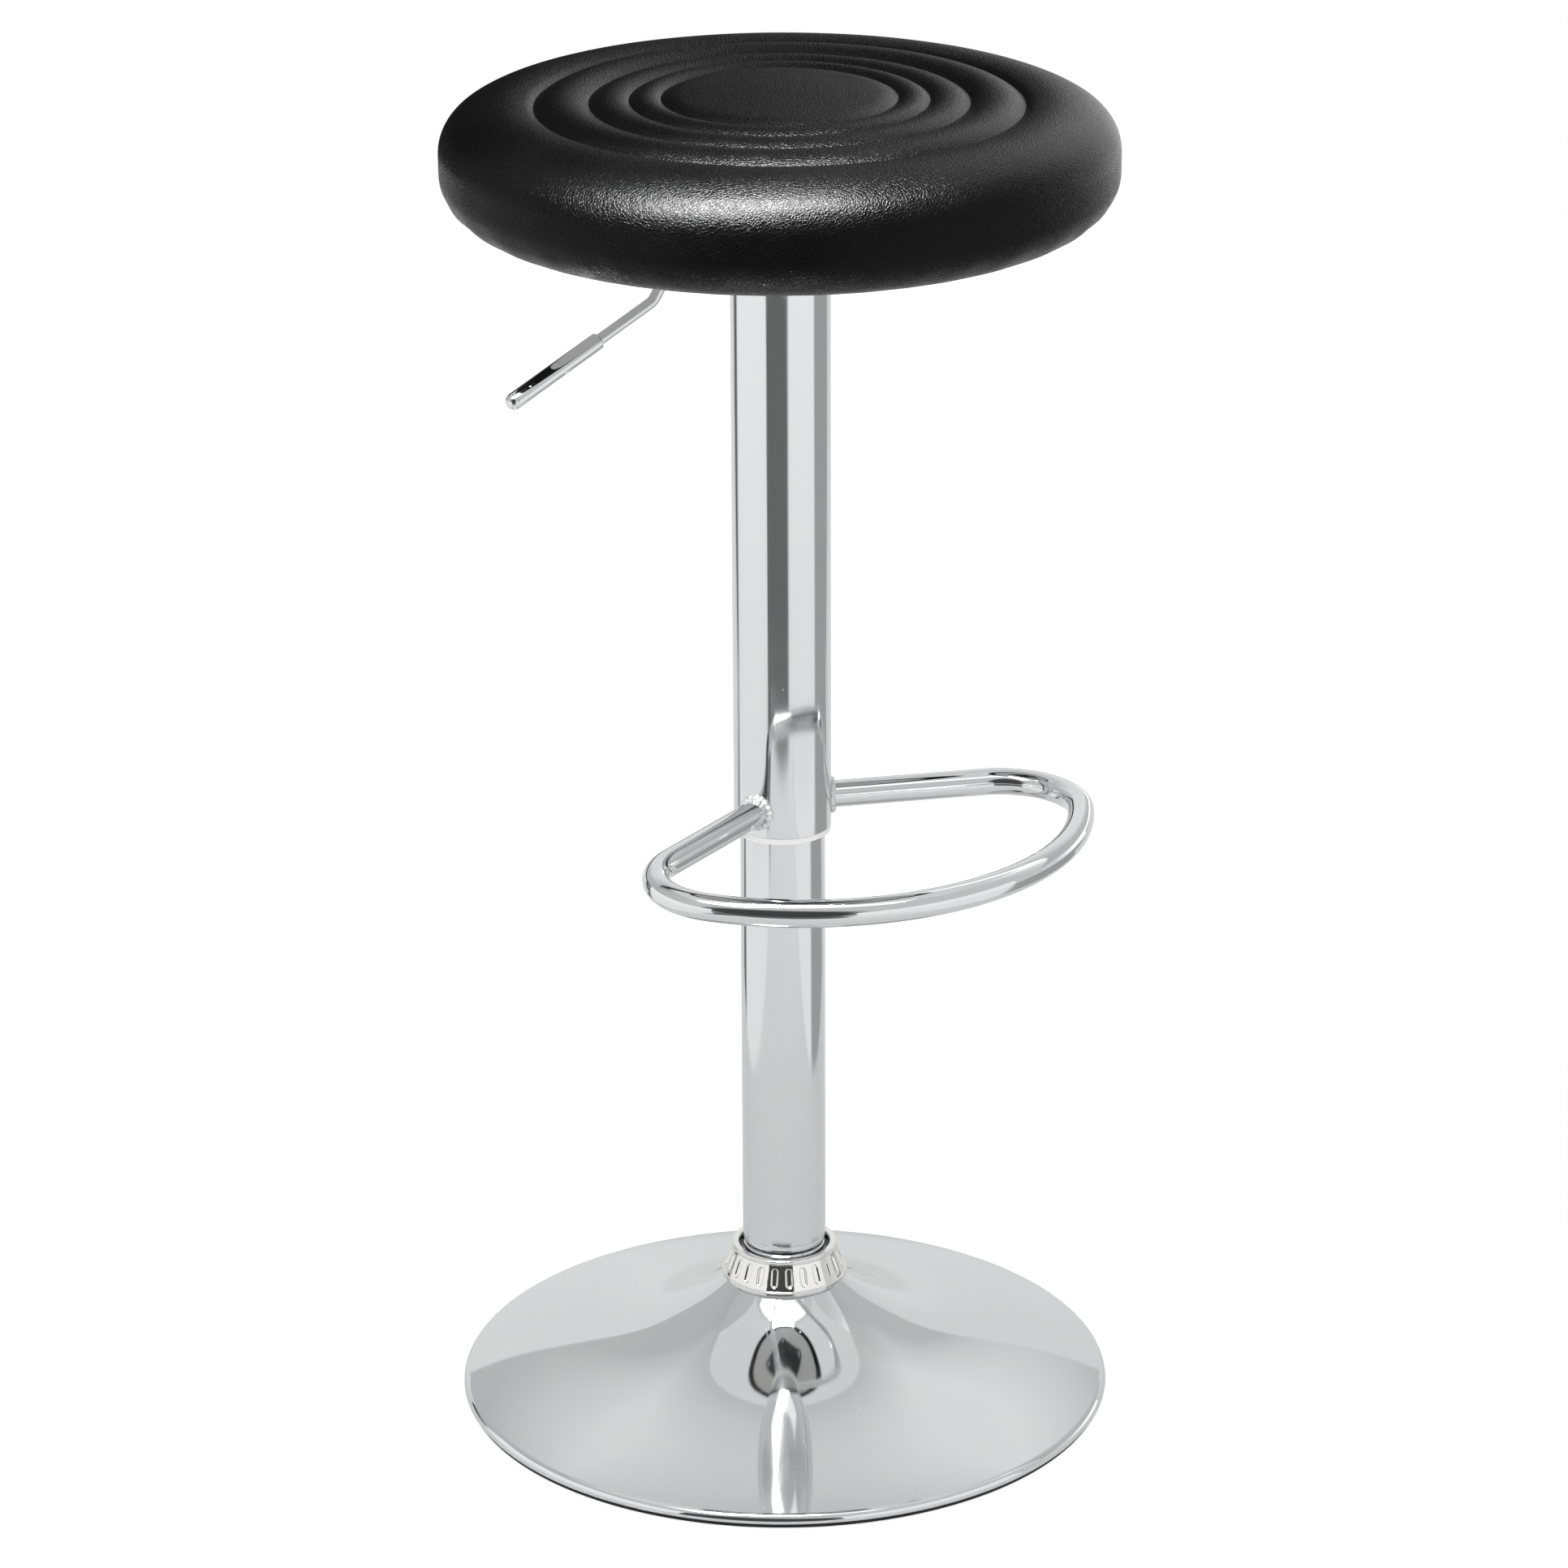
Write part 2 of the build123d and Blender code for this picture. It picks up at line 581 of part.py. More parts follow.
def mechanism_channel():
    inner = CHANNEL_HALF_WIDTH - CHANNEL_SHEET
    outside = Polyline(
        (-CHANNEL_HALF_WIDTH, PLATE_BOTTOM),
        (-CHANNEL_HALF_WIDTH, CHANNEL_BOTTOM),
        (CHANNEL_HALF_WIDTH, CHANNEL_BOTTOM),
        (CHANNEL_HALF_WIDTH, PLATE_BOTTOM),
    )
    outside = fillet(outside.vertices().group_by(Axis.Y)[0], CHANNEL_BEND)
    inside = Polyline(
        (inner, PLATE_BOTTOM),
        (inner, CHANNEL_BOTTOM + CHANNEL_SHEET),
        (-inner, CHANNEL_BOTTOM + CHANNEL_SHEET),
        (-inner, PLATE_BOTTOM),
    )
    inside = fillet(inside.vertices().group_by(Axis.Y)[0], CHANNEL_BEND - CHANNEL_SHEET)
    lips = [
        Line((-inner, PLATE_BOTTOM), (-CHANNEL_HALF_WIDTH, PLATE_BOTTOM)),
        Line((inner, PLATE_BOTTOM), (CHANNEL_HALF_WIDTH, PLATE_BOTTOM)),
    ]
    section = make_face(Plane.YZ * (Curve() + [outside, inside] + lips))
    body = extrude(Pos(CHANNEL_FRONT, 0, 0) * section, amount=CHANNEL_BACK - CHANNEL_FRONT, dir=(1, 0, 0))
    return body - disc(HUB_RADIUS, CHANNEL_BOTTOM, HUB_TOP) - pivot_hole(PIVOT_RADIUS)


def seat_plate():
    outline = RectangleRounded(PLATE_SIDE, PLATE_SIDE, PLATE_CORNER)
    body = extrude(Pos(0, 0, PLATE_BOTTOM) * outline, amount=PLATE)
    holes = at_bolts(Pos(0, 0, PLATE_BOTTOM) * Cylinder(BOLT_HOLE, 3 * PLATE))
    rib = extrude(SlotOverall(PLATE_RIB_LENGTH, PLATE_RIB_WIDTH), amount=PLATE_RIB_DEPTH)
    ribs = [Pos(0, side * PLATE_RIB_OFFSET, PLATE_BOTTOM) * rib for side in (-1, 1)]
    return body - holes - ribs


def lever_path():
    points = [(LEVER_INNER_END, LEVER_Z), LEVER_KNEE, LEVER_ELBOW, LEVER_TIP]
    return (Plane.XZ * FilletPolyline(*points, radius=LEVER_BEND)).wire()


def lever_rod():
    path = lever_path()
    section = Plane(origin=path @ 0, z_dir=path % 0) * Circle(LEVER_ROD_RADIUS)
    return sweep(section, path=path)


def grip_frame():
    """The grip's own axis: origin at its inner end, pointing to the lever's tip."""
    tip = Vector(LEVER_TIP[0], 0, LEVER_TIP[1])
    elbow = Vector(LEVER_ELBOW[0], 0, LEVER_ELBOW[1])
    along = (tip - elbow).normalized()
    return Plane(origin=tip - along * GRIP_LENGTH, z_dir=along)


def lever_grip():
    tube = Cylinder(GRIP_RADIUS, GRIP_LENGTH, align=STANDING)
    tube = fillet(tube.edges().group_by(Axis.Z)[0], GRIP_EDGE)
    return grip_frame() * (tube - Cylinder(LEVER_ROD_RADIUS, 3 * GRIP_LENGTH))


def lever_cap():
    outer_half = Cylinder(GRIP_RADIUS, GRIP_RADIUS, align=STANDING)
    dome = Sphere(GRIP_RADIUS) & outer_half
    neck = Cylinder(GRIP_RADIUS - GRIP_SEAM, GRIP_SEAM, align=STANDING)
    return grip_frame() * Pos(0, 0, GRIP_LENGTH) * (neck + Pos(0, 0, GRIP_SEAM) * dome)


def lever_barrel():
    axis = Plane(origin=(PIVOT_X, 0, PIVOT_Z), z_dir=(0, 1, 0))
    body = axis * Cylinder(BARREL_RADIUS, 2 * BARREL_HALF_LENGTH)
    rod = Plane(origin=(PIVOT_X, 0, LEVER_Z), z_dir=(1, 0, 0)) * Cylinder(LEVER_ROD_RADIUS, 4 * BARREL_RADIUS)
    return body - pivot_hole(PIVOT_RADIUS + PIVOT_CLEARANCE) - rod


def pivot_pin():
    length = 2 * CHANNEL_HALF_WIDTH + PIVOT_TAIL
    along_pin = Plane(origin=(PIVOT_X, -CHANNEL_HALF_WIDTH, PIVOT_Z), z_dir=(0, 1, 0))
    shank = Cylinder(PIVOT_RADIUS, length, align=STANDING)
    head = Cylinder(PIVOT_HEAD_RADIUS, PIVOT_HEAD, align=(Align.CENTER, Align.CENTER, Align.MAX))
    return along_pin * (shank + head)


def pivot_clip():
    behind_cheek = Plane(origin=(PIVOT_X, CHANNEL_HALF_WIDTH, PIVOT_Z), z_dir=(0, 1, 0))
    return behind_cheek * extrude(Circle(PIVOT_CLIP_RADIUS) - Circle(PIVOT_RADIUS), amount=PIVOT_CLIP)


def ring_arc(start, end):
    """One padded ring between two channels: an arc that rises a set share of its width."""
    width = end[0] - start[0]
    crest = ((start[0] + end[0]) / 2, (start[1] + end[1]) / 2 + RING_RISE * width)
    return ThreePointArc(start, crest, end)


def crown(depth):
    """The seat's outline from the middle of its top to its underside, set in by a depth."""
    channels = [(radius, height - depth) for radius, height in CHANNEL_RINGS]
    disc_top = (0, DISC_TOP - depth)
    disc_shoulder = (DISC_SHOULDER[0], DISC_SHOULDER[1] - depth)
    disc_middle = (disc_shoulder[0] / 2, disc_shoulder[1] + (disc_top[1] - disc_shoulder[1]) * 3 / 4)
    disc_arc = ThreePointArc(disc_top, disc_middle, disc_shoulder)
    disc_edge = TangentArc(disc_shoulder, channels[0], tangent=disc_arc % 1)
    padded_rings = [ring_arc(start, end) for start, end in zip(channels, channels[1:])]
    shoulder = (SEAT_RADIUS - SHOULDER_RADIUS, SHOULDER_Z)
    bend = SHOULDER_RADIUS - depth
    roll_slope = math.pi / 2 - SHOULDER_ANGLE
    roll_end = moved(shoulder, bend, roll_slope)
    roll_centre = moved(roll_end, depth - ROLL_RADIUS, roll_slope)
    inner_slope = math.asin((ROLL_INNER_EDGE - roll_centre[0]) / (ROLL_RADIUS - depth))
    roll_slopes = (inner_slope, (inner_slope + roll_slope) / 2, roll_slope)
    roll = ThreePointArc(*[moved(roll_centre, ROLL_RADIUS - depth, slope) for slope in roll_slopes])
    roll_edge = TangentArc(roll @ 0, channels[-1], tangent=(roll % 0) * -1)
    shoulder_slopes = (roll_slope, (roll_slope + math.pi / 2) / 2, math.pi / 2)
    side_radius = SEAT_RADIUS - depth
    lower = (SEAT_RADIUS - LOWER_RADIUS, LOWER_Z)
    tuck = LOWER_RADIUS - depth
    tuck_middle = moved(lower, tuck, math.pi * 3 / 4)
    underside = (lower[0], LOWER_Z - tuck)
    return [
        disc_arc,
        disc_edge,
        *padded_rings,
        roll_edge,
        roll,
        ThreePointArc(*[moved(shoulder, bend, slope) for slope in shoulder_slopes]),
        Line((side_radius, SHOULDER_Z), (side_radius, LOWER_Z)),
        ThreePointArc((side_radius, LOWER_Z), tuck_middle, underside),
    ]


COVER_BOTTOM = LOWER_Z - LOWER_RADIUS
TUCK_RADIUS = SEAT_RADIUS - LOWER_RADIUS
BOARD_TOP = BOARD_BOTTOM + BOARD


def seat_cover():
    hem = Polyline(
        (TUCK_RADIUS, COVER_BOTTOM),
        (HEM_INNER, COVER_BOTTOM),
        (HEM_INNER, COVER_BOTTOM + COVER),
        (TUCK_RADIUS, COVER_BOTTOM + COVER),
    )
    axis = Line((0, DISC_TOP), (0, DISC_TOP - COVER))
    return turned(crown(0) + [hem, axis] + crown(COVER))


def seat_board():
    body = disc(BOARD_RADIUS, BOARD_BOTTOM, BOARD_TOP)
    body = fillet(body.edges(), BOARD_EDGE)
    return body - at_bolts(Pos(0, 0, BOARD_BOTTOM) * Cylinder(TEE_BARREL_RADIUS, 3 * BOARD))


def seat_foam():
    closing = Polyline((TUCK_RADIUS, BOARD_BOTTOM), (0, BOARD_BOTTOM), (0, DISC_TOP - COVER))
    board = fillet(disc(BOARD_RADIUS, BOARD_BOTTOM, BOARD_TOP).edges(), BOARD_EDGE)
    trimmed_edge = disc(SEAT_RADIUS, BOARD_BOTTOM, BOARD_BOTTOM + BOARD_EDGE)
    pocket = Pos(0, 0, BOARD_TOP) * Cylinder(TEE_FLANGE_RADIUS, 2 * TEE_FLANGE)
    return turned(crown(COVER) + [closing]) - board - trimmed_edge - at_bolts(pocket)


def dust_cover():
    low = COVER_BOTTOM - CLOTH
    high = BOARD_BOTTOM - CLOTH
    cloth = turned_points([
        (0, high),
        (HEM_INNER - 2 * CLOTH, high),
        (HEM_INNER - CLOTH, low),
        (CLOTH_RADIUS, low),
        (CLOTH_RADIUS, COVER_BOTTOM),
        (HEM_INNER, COVER_BOTTOM),
        (HEM_INNER - CLOTH, BOARD_BOTTOM),
        (0, BOARD_BOTTOM),
    ])
    return cloth - at_bolts(Pos(0, 0, BOARD_BOTTOM) * Cylinder(BOLT_HOLE, BOARD))


WASHER_BOTTOM = PLATE_BOTTOM - BOLT_WASHER


def seat_bolts():
    head = extrude(RegularPolygon(BOLT_FLATS / 2, 6, major_radius=False), amount=-BOLT_HEAD)
    shank = extrude(Circle(BOLT_RADIUS), amount=BOLT_LENGTH)
    return Compound(children=at_bolts(Pos(0, 0, WASHER_BOTTOM) * (head + shank)))


def bolt_washers():
    washer = extrude(Circle(BOLT_WASHER_RADIUS) - Circle(BOLT_HOLE), amount=BOLT_WASHER)
    return Compound(children=at_bolts(Pos(0, 0, WASHER_BOTTOM) * washer))


def tee_nuts():
    flange = extrude(Circle(TEE_FLANGE_RADIUS) - Circle(TEE_THREAD), amount=TEE_FLANGE)
    barrel = extrude(Circle(TEE_BARREL_RADIUS) - Circle(TEE_THREAD), amount=-TEE_BARREL)
    return Compound(children=at_bolts(Pos(0, 0, BOARD_TOP) * (flange + barrel)))


def staples():
    crown_bottom = COVER_BOTTOM - CLOTH - STAPLE_WIRE
    bar = Box(STAPLE_WIDTH, STAPLE_CROWN, STAPLE_WIRE, align=STANDING)
    leg = Box(STAPLE_WIDTH, STAPLE_WIRE, STAPLE_LEG, align=STANDING)
    reach = (STAPLE_CROWN - STAPLE_WIRE) / 2
    staple = bar + Pos(0, reach, 0) * leg + Pos(0, -reach, 0) * leg
    return around(STAPLE_COUNT, Pos(STAPLE_CIRCLE, 0, crown_bottom) * staple)


PIECES = [
    floor_ring, base_shell, base_ballast, column_socket, base_collar, column_plug, lower_column, column_guide,
    bearing_lower_race, bearing_balls, bearing_cage, bearing_upper_race,
    piston_rod, piston, piston_ring, piston_nut, rod_buffer, rod_washer, rod_clip,
    gas_cylinder, cylinder_gland, valve_body, release_pin,
    upper_column, upper_column_disc, slide_bush, footrest, footrest_welds,
    taper_hub, mechanism_channel, seat_plate, lever_rod, lever_grip, lever_cap, lever_barrel,
    pivot_pin, pivot_clip,
    seat_cover, seat_board, seat_foam, dust_cover, seat_bolts, bolt_washers, tee_nuts, staples,
]

os.makedirs("parts", exist_ok=True)
for piece in PIECES:
    export_step(piece(), f"parts/{piece.__name__}.step")
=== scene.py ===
import math
import bmesh
import bpy
import numpy as np
from mathutils import Matrix, Vector


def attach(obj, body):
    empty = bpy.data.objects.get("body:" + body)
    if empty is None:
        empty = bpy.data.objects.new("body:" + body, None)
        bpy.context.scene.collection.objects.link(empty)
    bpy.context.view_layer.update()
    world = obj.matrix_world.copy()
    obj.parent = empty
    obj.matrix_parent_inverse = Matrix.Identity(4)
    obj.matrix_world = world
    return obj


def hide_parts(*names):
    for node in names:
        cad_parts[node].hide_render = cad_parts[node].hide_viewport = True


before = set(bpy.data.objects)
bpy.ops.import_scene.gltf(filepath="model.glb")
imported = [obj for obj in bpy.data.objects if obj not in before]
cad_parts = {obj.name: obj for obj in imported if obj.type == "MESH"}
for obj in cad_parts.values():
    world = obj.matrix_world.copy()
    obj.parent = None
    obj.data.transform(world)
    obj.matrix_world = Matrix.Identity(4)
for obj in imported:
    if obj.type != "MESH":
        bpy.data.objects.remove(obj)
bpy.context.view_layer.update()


# Floor ring: a ring of black rubber, moulded to size and pressed up into the base's rim.
# It is the only piece that touches the floor, and shows as a thin black line under the chrome.
def outline(corners, spacing=4.0):
    """Corners (radius, height, rounding), in millimetres, as the points of a turned section. A section that
    starts and ends on the axis stays open there. A fourth number divides the next run finer."""
    closed = corners[0][0] > 0
    points, gaps = [], []
    for index, (radius, height, rounding, *finer) in enumerate(corners):
        gap = finer[0] if finer else spacing
        corner = Vector((radius, height))
        if not rounding:
            points.append(corner)
            gaps.append(gap)
            continue
        before = (Vector(corners[index - 1][:2]) - corner).normalized()
        after = (Vector(corners[(index + 1) % len(corners)][:2]) - corner).normalized()
        turn = math.pi - before.angle(after)
        centre = corner + (before + after).normalized() * (rounding / math.cos(turn / 2))
        spoke = corner + before * (rounding * math.tan(turn / 2)) - centre
        way = 1 if before.x * after.y - before.y * after.x < 0 else -1
        steps = max(4, math.ceil(turn / math.radians(9)), math.ceil(turn * rounding / 2))
        for step in range(steps + 1):
            points.append(centre + Matrix.Rotation(way * turn * step / steps, 2) @ spoke)
            gaps.append(gap)
    divided = []
    for index, point in enumerate(points if closed else points[:-1]):
        nearer = points[(index + 1) % len(points)]
        parts = max(1, math.ceil((nearer - point).length / gaps[index]))
        divided += [point.lerp(nearer, part / parts) for part in range(parts)]
    return divided if closed else divided + points[-1:]


def plain(piece, sharp=35):
    """Turns a piece's modifiers into a plain mesh with closed seams, outward faces and crisp edges."""
    evaluated = piece.evaluated_get(bpy.context.evaluated_depsgraph_get())
    mesh = bpy.data.meshes.new_from_object(evaluated)
    piece.modifiers.clear()
    piece.data = mesh
    shell = bmesh.new()
    shell.from_mesh(mesh)
    bmesh.ops.remove_doubles(shell, verts=shell.verts, dist=1e-6)
    bmesh.ops.recalc_face_normals(shell, faces=shell.faces)
    shell.to_mesh(mesh)
    shell.free()
    mesh.shade_smooth()
    mesh.set_sharp_from_angle(angle=math.radians(sharp))
    return piece


def new_piece(name, points, edges, faces=()):
    """An object in the scene, from points in metres."""
    mesh = bpy.data.meshes.new(name)
    mesh.from_pydata([tuple(point) for point in points], edges, faces)
    piece = bpy.data.objects.new(name, mesh)
    bpy.context.scene.collection.objects.link(piece)
    return piece


def turned(name, corners, material, steps=192, spacing=4.0):
    """A piece spun round its own axis from a section in millimetres."""
    section = outline(corners, spacing)
    edges = [(index, index + 1) for index in range(len(section) - 1)]
    if corners[0][0] > 0:
        edges.append((len(section) - 1, 0))
    piece = new_piece(name, [(point.x / 1000, 0, point.y / 1000) for point in section], edges)
    spin = piece.modifiers.new("spin", "SCREW")
    spin.axis = "Z"
    spin.steps = spin.render_steps = steps
    spin.use_merge_vertices = True
    spin.merge_threshold = 1e-6
    plain(piece)
    piece.data.materials.append(material)
    return piece


def settle(piece, body, slot, *nodes):
    """The piece moves with its body and stands for its CAD nodes; the slot is not used."""
    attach(piece, body)
    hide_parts(*nodes)


def linear(code):
    """An sRGB hex colour as linear RGBA."""
    shares = [int(code[place:place + 2], 16) / 255 for place in (1, 3, 5)]
    light = [share / 12.92 if share <= 0.04045 else ((share + 0.055) / 1.055) ** 2.4 for share in shares]
    return light + [1.0]


def add(tree, kind, inputs=None, **settings):
    """A node with its settings, and its inputs set or linked."""
    node = tree.nodes.new(kind)
    for setting, value in settings.items():
        setattr(node, setting, value)
    for socket, value in (inputs or {}).items():
        if isinstance(value, bpy.types.NodeSocket):
            tree.links.new(value, node.inputs[socket])
        else:
            node.inputs[socket].default_value = value
    return node


def new_finish(name):
    """An empty material, its node tree, and the Object coordinates that its patterns read."""
    material = bpy.data.materials.new(name)
    material.use_nodes = True
    material.node_tree.nodes.clear()
    return material, material.node_tree, add(material.node_tree, "ShaderNodeTexCoord").outputs["Object"]


# Moulded rubber: a dull near-black with a faint grey bloom in blotches and a fine mould texture.
moulded_rubber, tree, where = new_finish("moulded_rubber")
bloom = add(tree, "ShaderNodeTexNoise", {"Vector": where, "Scale": 1 / 0.012, "Detail": 4.0}).outputs["Fac"]
mould = add(tree, "ShaderNodeTexNoise", {
    "Vector": where, "Scale": 1 / 0.0008, "Detail": 2.0}).outputs["Fac"]
tone = add(tree, "ShaderNodeMix", {
    0: bloom, 6: linear("#0b0b0c"), 7: linear("#1a1a1b")}, data_type="RGBA").outputs[2]
dull = add(tree, "ShaderNodeMapRange", {"Value": bloom, "To Min": 0.55, "To Max": 0.8}).outputs[0]
skin = add(tree, "ShaderNodeBump", {"Height": mould, "Strength": 0.4, "Distance": 0.0001}).outputs[0]
shader = add(tree, "ShaderNodeBsdfPrincipled", {
    "Base Color": tone, "Roughness": dull, "Normal": skin, "IOR": 1.52}).outputs[0]
add(tree, "ShaderNodeOutputMaterial", {"Surface": shader})

rubber_ring = turned("rubber_ring", [
    (184.0, 0.0, 0.3), (193.5, 0.0, 0.8), (193.5, 3.0, 0.2), (184.0, 3.0, 0.0),
], moulded_rubber, steps=256)
settle(rubber_ring, "base", "black_rubber", "floor_ring")


# Base shell: sheet steel spun over a former, a domed disc that flares up to a neck, its rim hemmed under.
# It is polished and chrome plated, so it mirrors the column and the footrest in its flare.
def chrome(name, lines, haze=0.03):
    """Bright chrome plate on polished steel. It mirrors nearly everything, with slow waves in the polish,
    faint smears and a few specks of dust. Polishing lines run round a spun piece and up a drawn tube; they
    are a hundredth of a millimetre apart, and are drawn at about half a millimetre so that they show."""
    material, tree, where = new_finish(name)
    parts = add(tree, "ShaderNodeSeparateXYZ", {0: where})
    if lines == "round":
        flat = add(tree, "ShaderNodeVectorMath", {0: where, 1: (1, 1, 0)}, operation="MULTIPLY").outputs[0]
        reach = add(tree, "ShaderNodeVectorMath", {0: flat}, operation="LENGTH").outputs["Value"]
        along = add(tree, "ShaderNodeCombineXYZ", {0: reach, 2: parts.outputs[2]}).outputs[0]
    else:
        stretch = (1, 1, 0.004) if lines == "up" else (1, 1, 1)
        along = add(tree, "ShaderNodeVectorMath", {0: where, 1: stretch}, operation="MULTIPLY").outputs[0]
    polish = add(tree, "ShaderNodeTexNoise", {
        "Vector": along, "Scale": 1 / 0.0005, "Detail": 2.0}).outputs["Fac"]
    smear = add(tree, "ShaderNodeTexNoise", {
        "Vector": where, "Scale": 1 / 0.03, "Detail": 5.0}).outputs["Fac"]
    wave = add(tree, "ShaderNodeTexNoise", {
        "Vector": where, "Scale": 1 / 0.04, "Detail": 1.0}).outputs["Fac"]
    dust = add(tree, "ShaderNodeTexVoronoi", {"Vector": where, "Scale": 1 / 0.014}).outputs["Distance"]
    speck = add(tree, "ShaderNodeMapRange", {
        "Value": dust, "From Min": 0.02, "From Max": 0.035, "To Min": 0.3, "To Max": 0.0}).outputs[0]
    clean = add(tree, "ShaderNodeMapRange", {
        "Value": smear, "From Min": 0.35, "From Max": 0.75,
        "To Min": haze, "To Max": haze + 0.04}).outputs[0]
    rough = add(tree, "ShaderNodeMath", {0: clean, 1: speck}, operation="ADD").outputs[0]
    tone = add(tree, "ShaderNodeMix", {
        0: smear, 6: linear("#d9dbde"), 7: linear("#dfdfde")}, data_type="RGBA").outputs[2]
    waves = add(tree, "ShaderNodeBump", {"Height": wave, "Strength": 1.0, "Distance": 0.00003}).outputs[0]
    fine = add(tree, "ShaderNodeBump", {
        "Height": polish, "Strength": 0.05 if lines else 0.0,
        "Distance": 0.0001, "Normal": waves}).outputs[0]
    shader = add(tree, "ShaderNodeBsdfPrincipled", {
        "Base Color": tone, "Metallic": 1.0, "Roughness": rough, "Normal": fine}).outputs[0]
    add(tree, "ShaderNodeOutputMaterial", {"Surface": shader})
    return material


def flowing(points, first, last, gap):
    """A smooth curve in (radius, height) through points, which starts and ends at a slope in degrees."""
    spans = [after[0] - before[0] for before, after in zip(points, points[1:])]
    rises = [(after[1] - before[1]) / span for before, after, span in zip(points, points[1:], spans)]
    slopes = [-math.tan(math.radians(first))] + rises[1:] + [-math.tan(math.radians(last))]
    for _ in range(60):
        for index in range(1, len(spans)):
            near, far = spans[index - 1], spans[index]
            pull = 3 * (far * rises[index - 1] + near * rises[index])
            slopes[index] = (pull - slopes[index - 1] * far - slopes[index + 1] * near) / (2 * (near + far))
    curve = []
    for index, span in enumerate(spans):
        steps = math.ceil(span / gap)
        for step in range(steps):
            share = step / steps
            rest = 1 - share
            ends = points[index][1] * (1 + 2 * share) * rest ** 2
            ends += points[index + 1][1] * (3 - 2 * share) * share ** 2
            lean = slopes[index] * share * rest ** 2 - slopes[index + 1] * rest * share ** 2
            curve.append((points[index][0] + span * share, ends + span * lean))
    return curve + [points[-1]]


SHEET = 1.6
flare = flowing([
    (34.0, 71.5), (48.0, 59.2), (66.0, 47.4), (90.0, 35.4), (120.0, 25.5), (155.0, 17.1), (191.303, 8.427),
], first=44.0, last=15.1, gap=2.0)
under = []
for before, after in zip(flare[-3::-3], flare[::-3]):
    fall = math.atan2(before[1] - after[1], after[0] - before[0])
    middle = ((before[0] + after[0]) / 2, (before[1] + after[1]) / 2)
    under.append((middle[0] - SHEET * math.sin(fall), middle[1] - SHEET * math.cos(fall), 0.0))
spun_chrome = chrome("chrome_on_spun_steel", "round")
chrome_base = turned("chrome_base", [
    (34.0, 75.0, 0.3), *[(radius, height, 0.0) for radius, height in flare], (195.0, 7.43, 5.0),
    (195.0, 3.0, 0.4), (183.0, 3.0, 0.3), (183.0, 4.6, 0.3), (193.25, 4.6, 0.0), (193.4, 6.2, 1.2),
    *under, (32.4, 70.82, 0.0), (32.4, 75.0, 0.3),
], spun_chrome, steps=256, spacing=3.0)
settle(chrome_base, "base", "chrome_plate", "base_shell")


# Ballast plate and column socket: a flame-cut steel plate that weighs the base down, and a threaded steel
# socket welded on it. Both are zinc plated and only show from below.
def coat(material, *names):
    """Gives CAD nodes that keep their own shape their finish."""
    for name in names:
        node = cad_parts[name]
        node.data.materials.clear()
        node.data.materials.append(material)


# Zinc plate: a pale blue-grey metal, duller than chrome, with the bath's spangle in soft cloudy patches.
zinc_plate, tree, where = new_finish("zinc_plated_steel")
spangle = add(tree, "ShaderNodeTexVoronoi", {
    "Vector": where, "Scale": 1 / 0.006, "Detail": 1.0}).outputs["Color"]
cloud = add(tree, "ShaderNodeTexNoise", {"Vector": where, "Scale": 1 / 0.02, "Detail": 6.0}).outputs["Fac"]
tone = add(tree, "ShaderNodeMix", {
    0: cloud, 6: linear("#9aa0a5"), 7: linear("#bfc3c6")}, data_type="RGBA").outputs[2]
grey = add(tree, "ShaderNodeRGBToBW", {0: spangle}).outputs[0]
rough = add(tree, "ShaderNodeMapRange", {"Value": grey, "To Min": 0.28, "To Max": 0.45}).outputs[0]
pits = add(tree, "ShaderNodeBump", {"Height": cloud, "Strength": 0.2, "Distance": 0.0002}).outputs[0]
shader = add(tree, "ShaderNodeBsdfPrincipled", {
    "Base Color": tone, "Metallic": 1.0, "Roughness": rough, "Normal": pits}).outputs[0]
add(tree, "ShaderNodeOutputMaterial", {"Surface": shader})
coat(zinc_plate, "base_ballast", "column_socket")


# Collar: a plastic ring, injection moulded and chromed, that snaps over the base's neck.
# Finger notches are moulded into its cone all round, under a rounded top lip.
def new_tree(name, sizes):
    """A Geometry Nodes tree with a named input for each size and for its finish, and those inputs."""
    tree = bpy.data.node_groups.new(name, "GeometryNodeTree")
    tree.interface.new_socket("Geometry", in_out="OUTPUT", socket_type="NodeSocketGeometry")
    tree.interface.new_socket("Geometry", in_out="INPUT", socket_type="NodeSocketGeometry")
    for label, size in sizes.items():
        kind = "NodeSocketInt" if isinstance(size, int) else "NodeSocketFloat"
        tree.interface.new_socket(label, in_out="INPUT", socket_type=kind).default_value = size
    tree.interface.new_socket("Finish", in_out="INPUT", socket_type="NodeSocketMaterial")
    return tree, add(tree, "NodeGroupInput").outputs


def grow(piece, tree, material, sizes, sharp=35):
    """Runs a tree on a piece's own mesh, with its sizes, and leaves a plain mesh."""
    maker = piece.modifiers.new("maker", "NODES")
    maker.node_group = tree
    for item in tree.interface.items_tree:
        if item.in_out == "INPUT" and item.name in sizes:
            maker[item.identifier] = sizes[item.name]
        if item.name == "Finish":
            maker[item.identifier] = material
    return plain(piece, sharp)


def hand_over(tree, made, finish):
    """Ends a tree with what it made, as one real mesh in its finish."""
    whole = add(tree, "GeometryNodeRealizeInstances", {"Geometry": made}).outputs[0]
    coated = add(tree, "GeometryNodeSetMaterial", {"Geometry": whole, "Material": finish}).outputs[0]
    add(tree, "NodeGroupOutput", {"Geometry": coated})


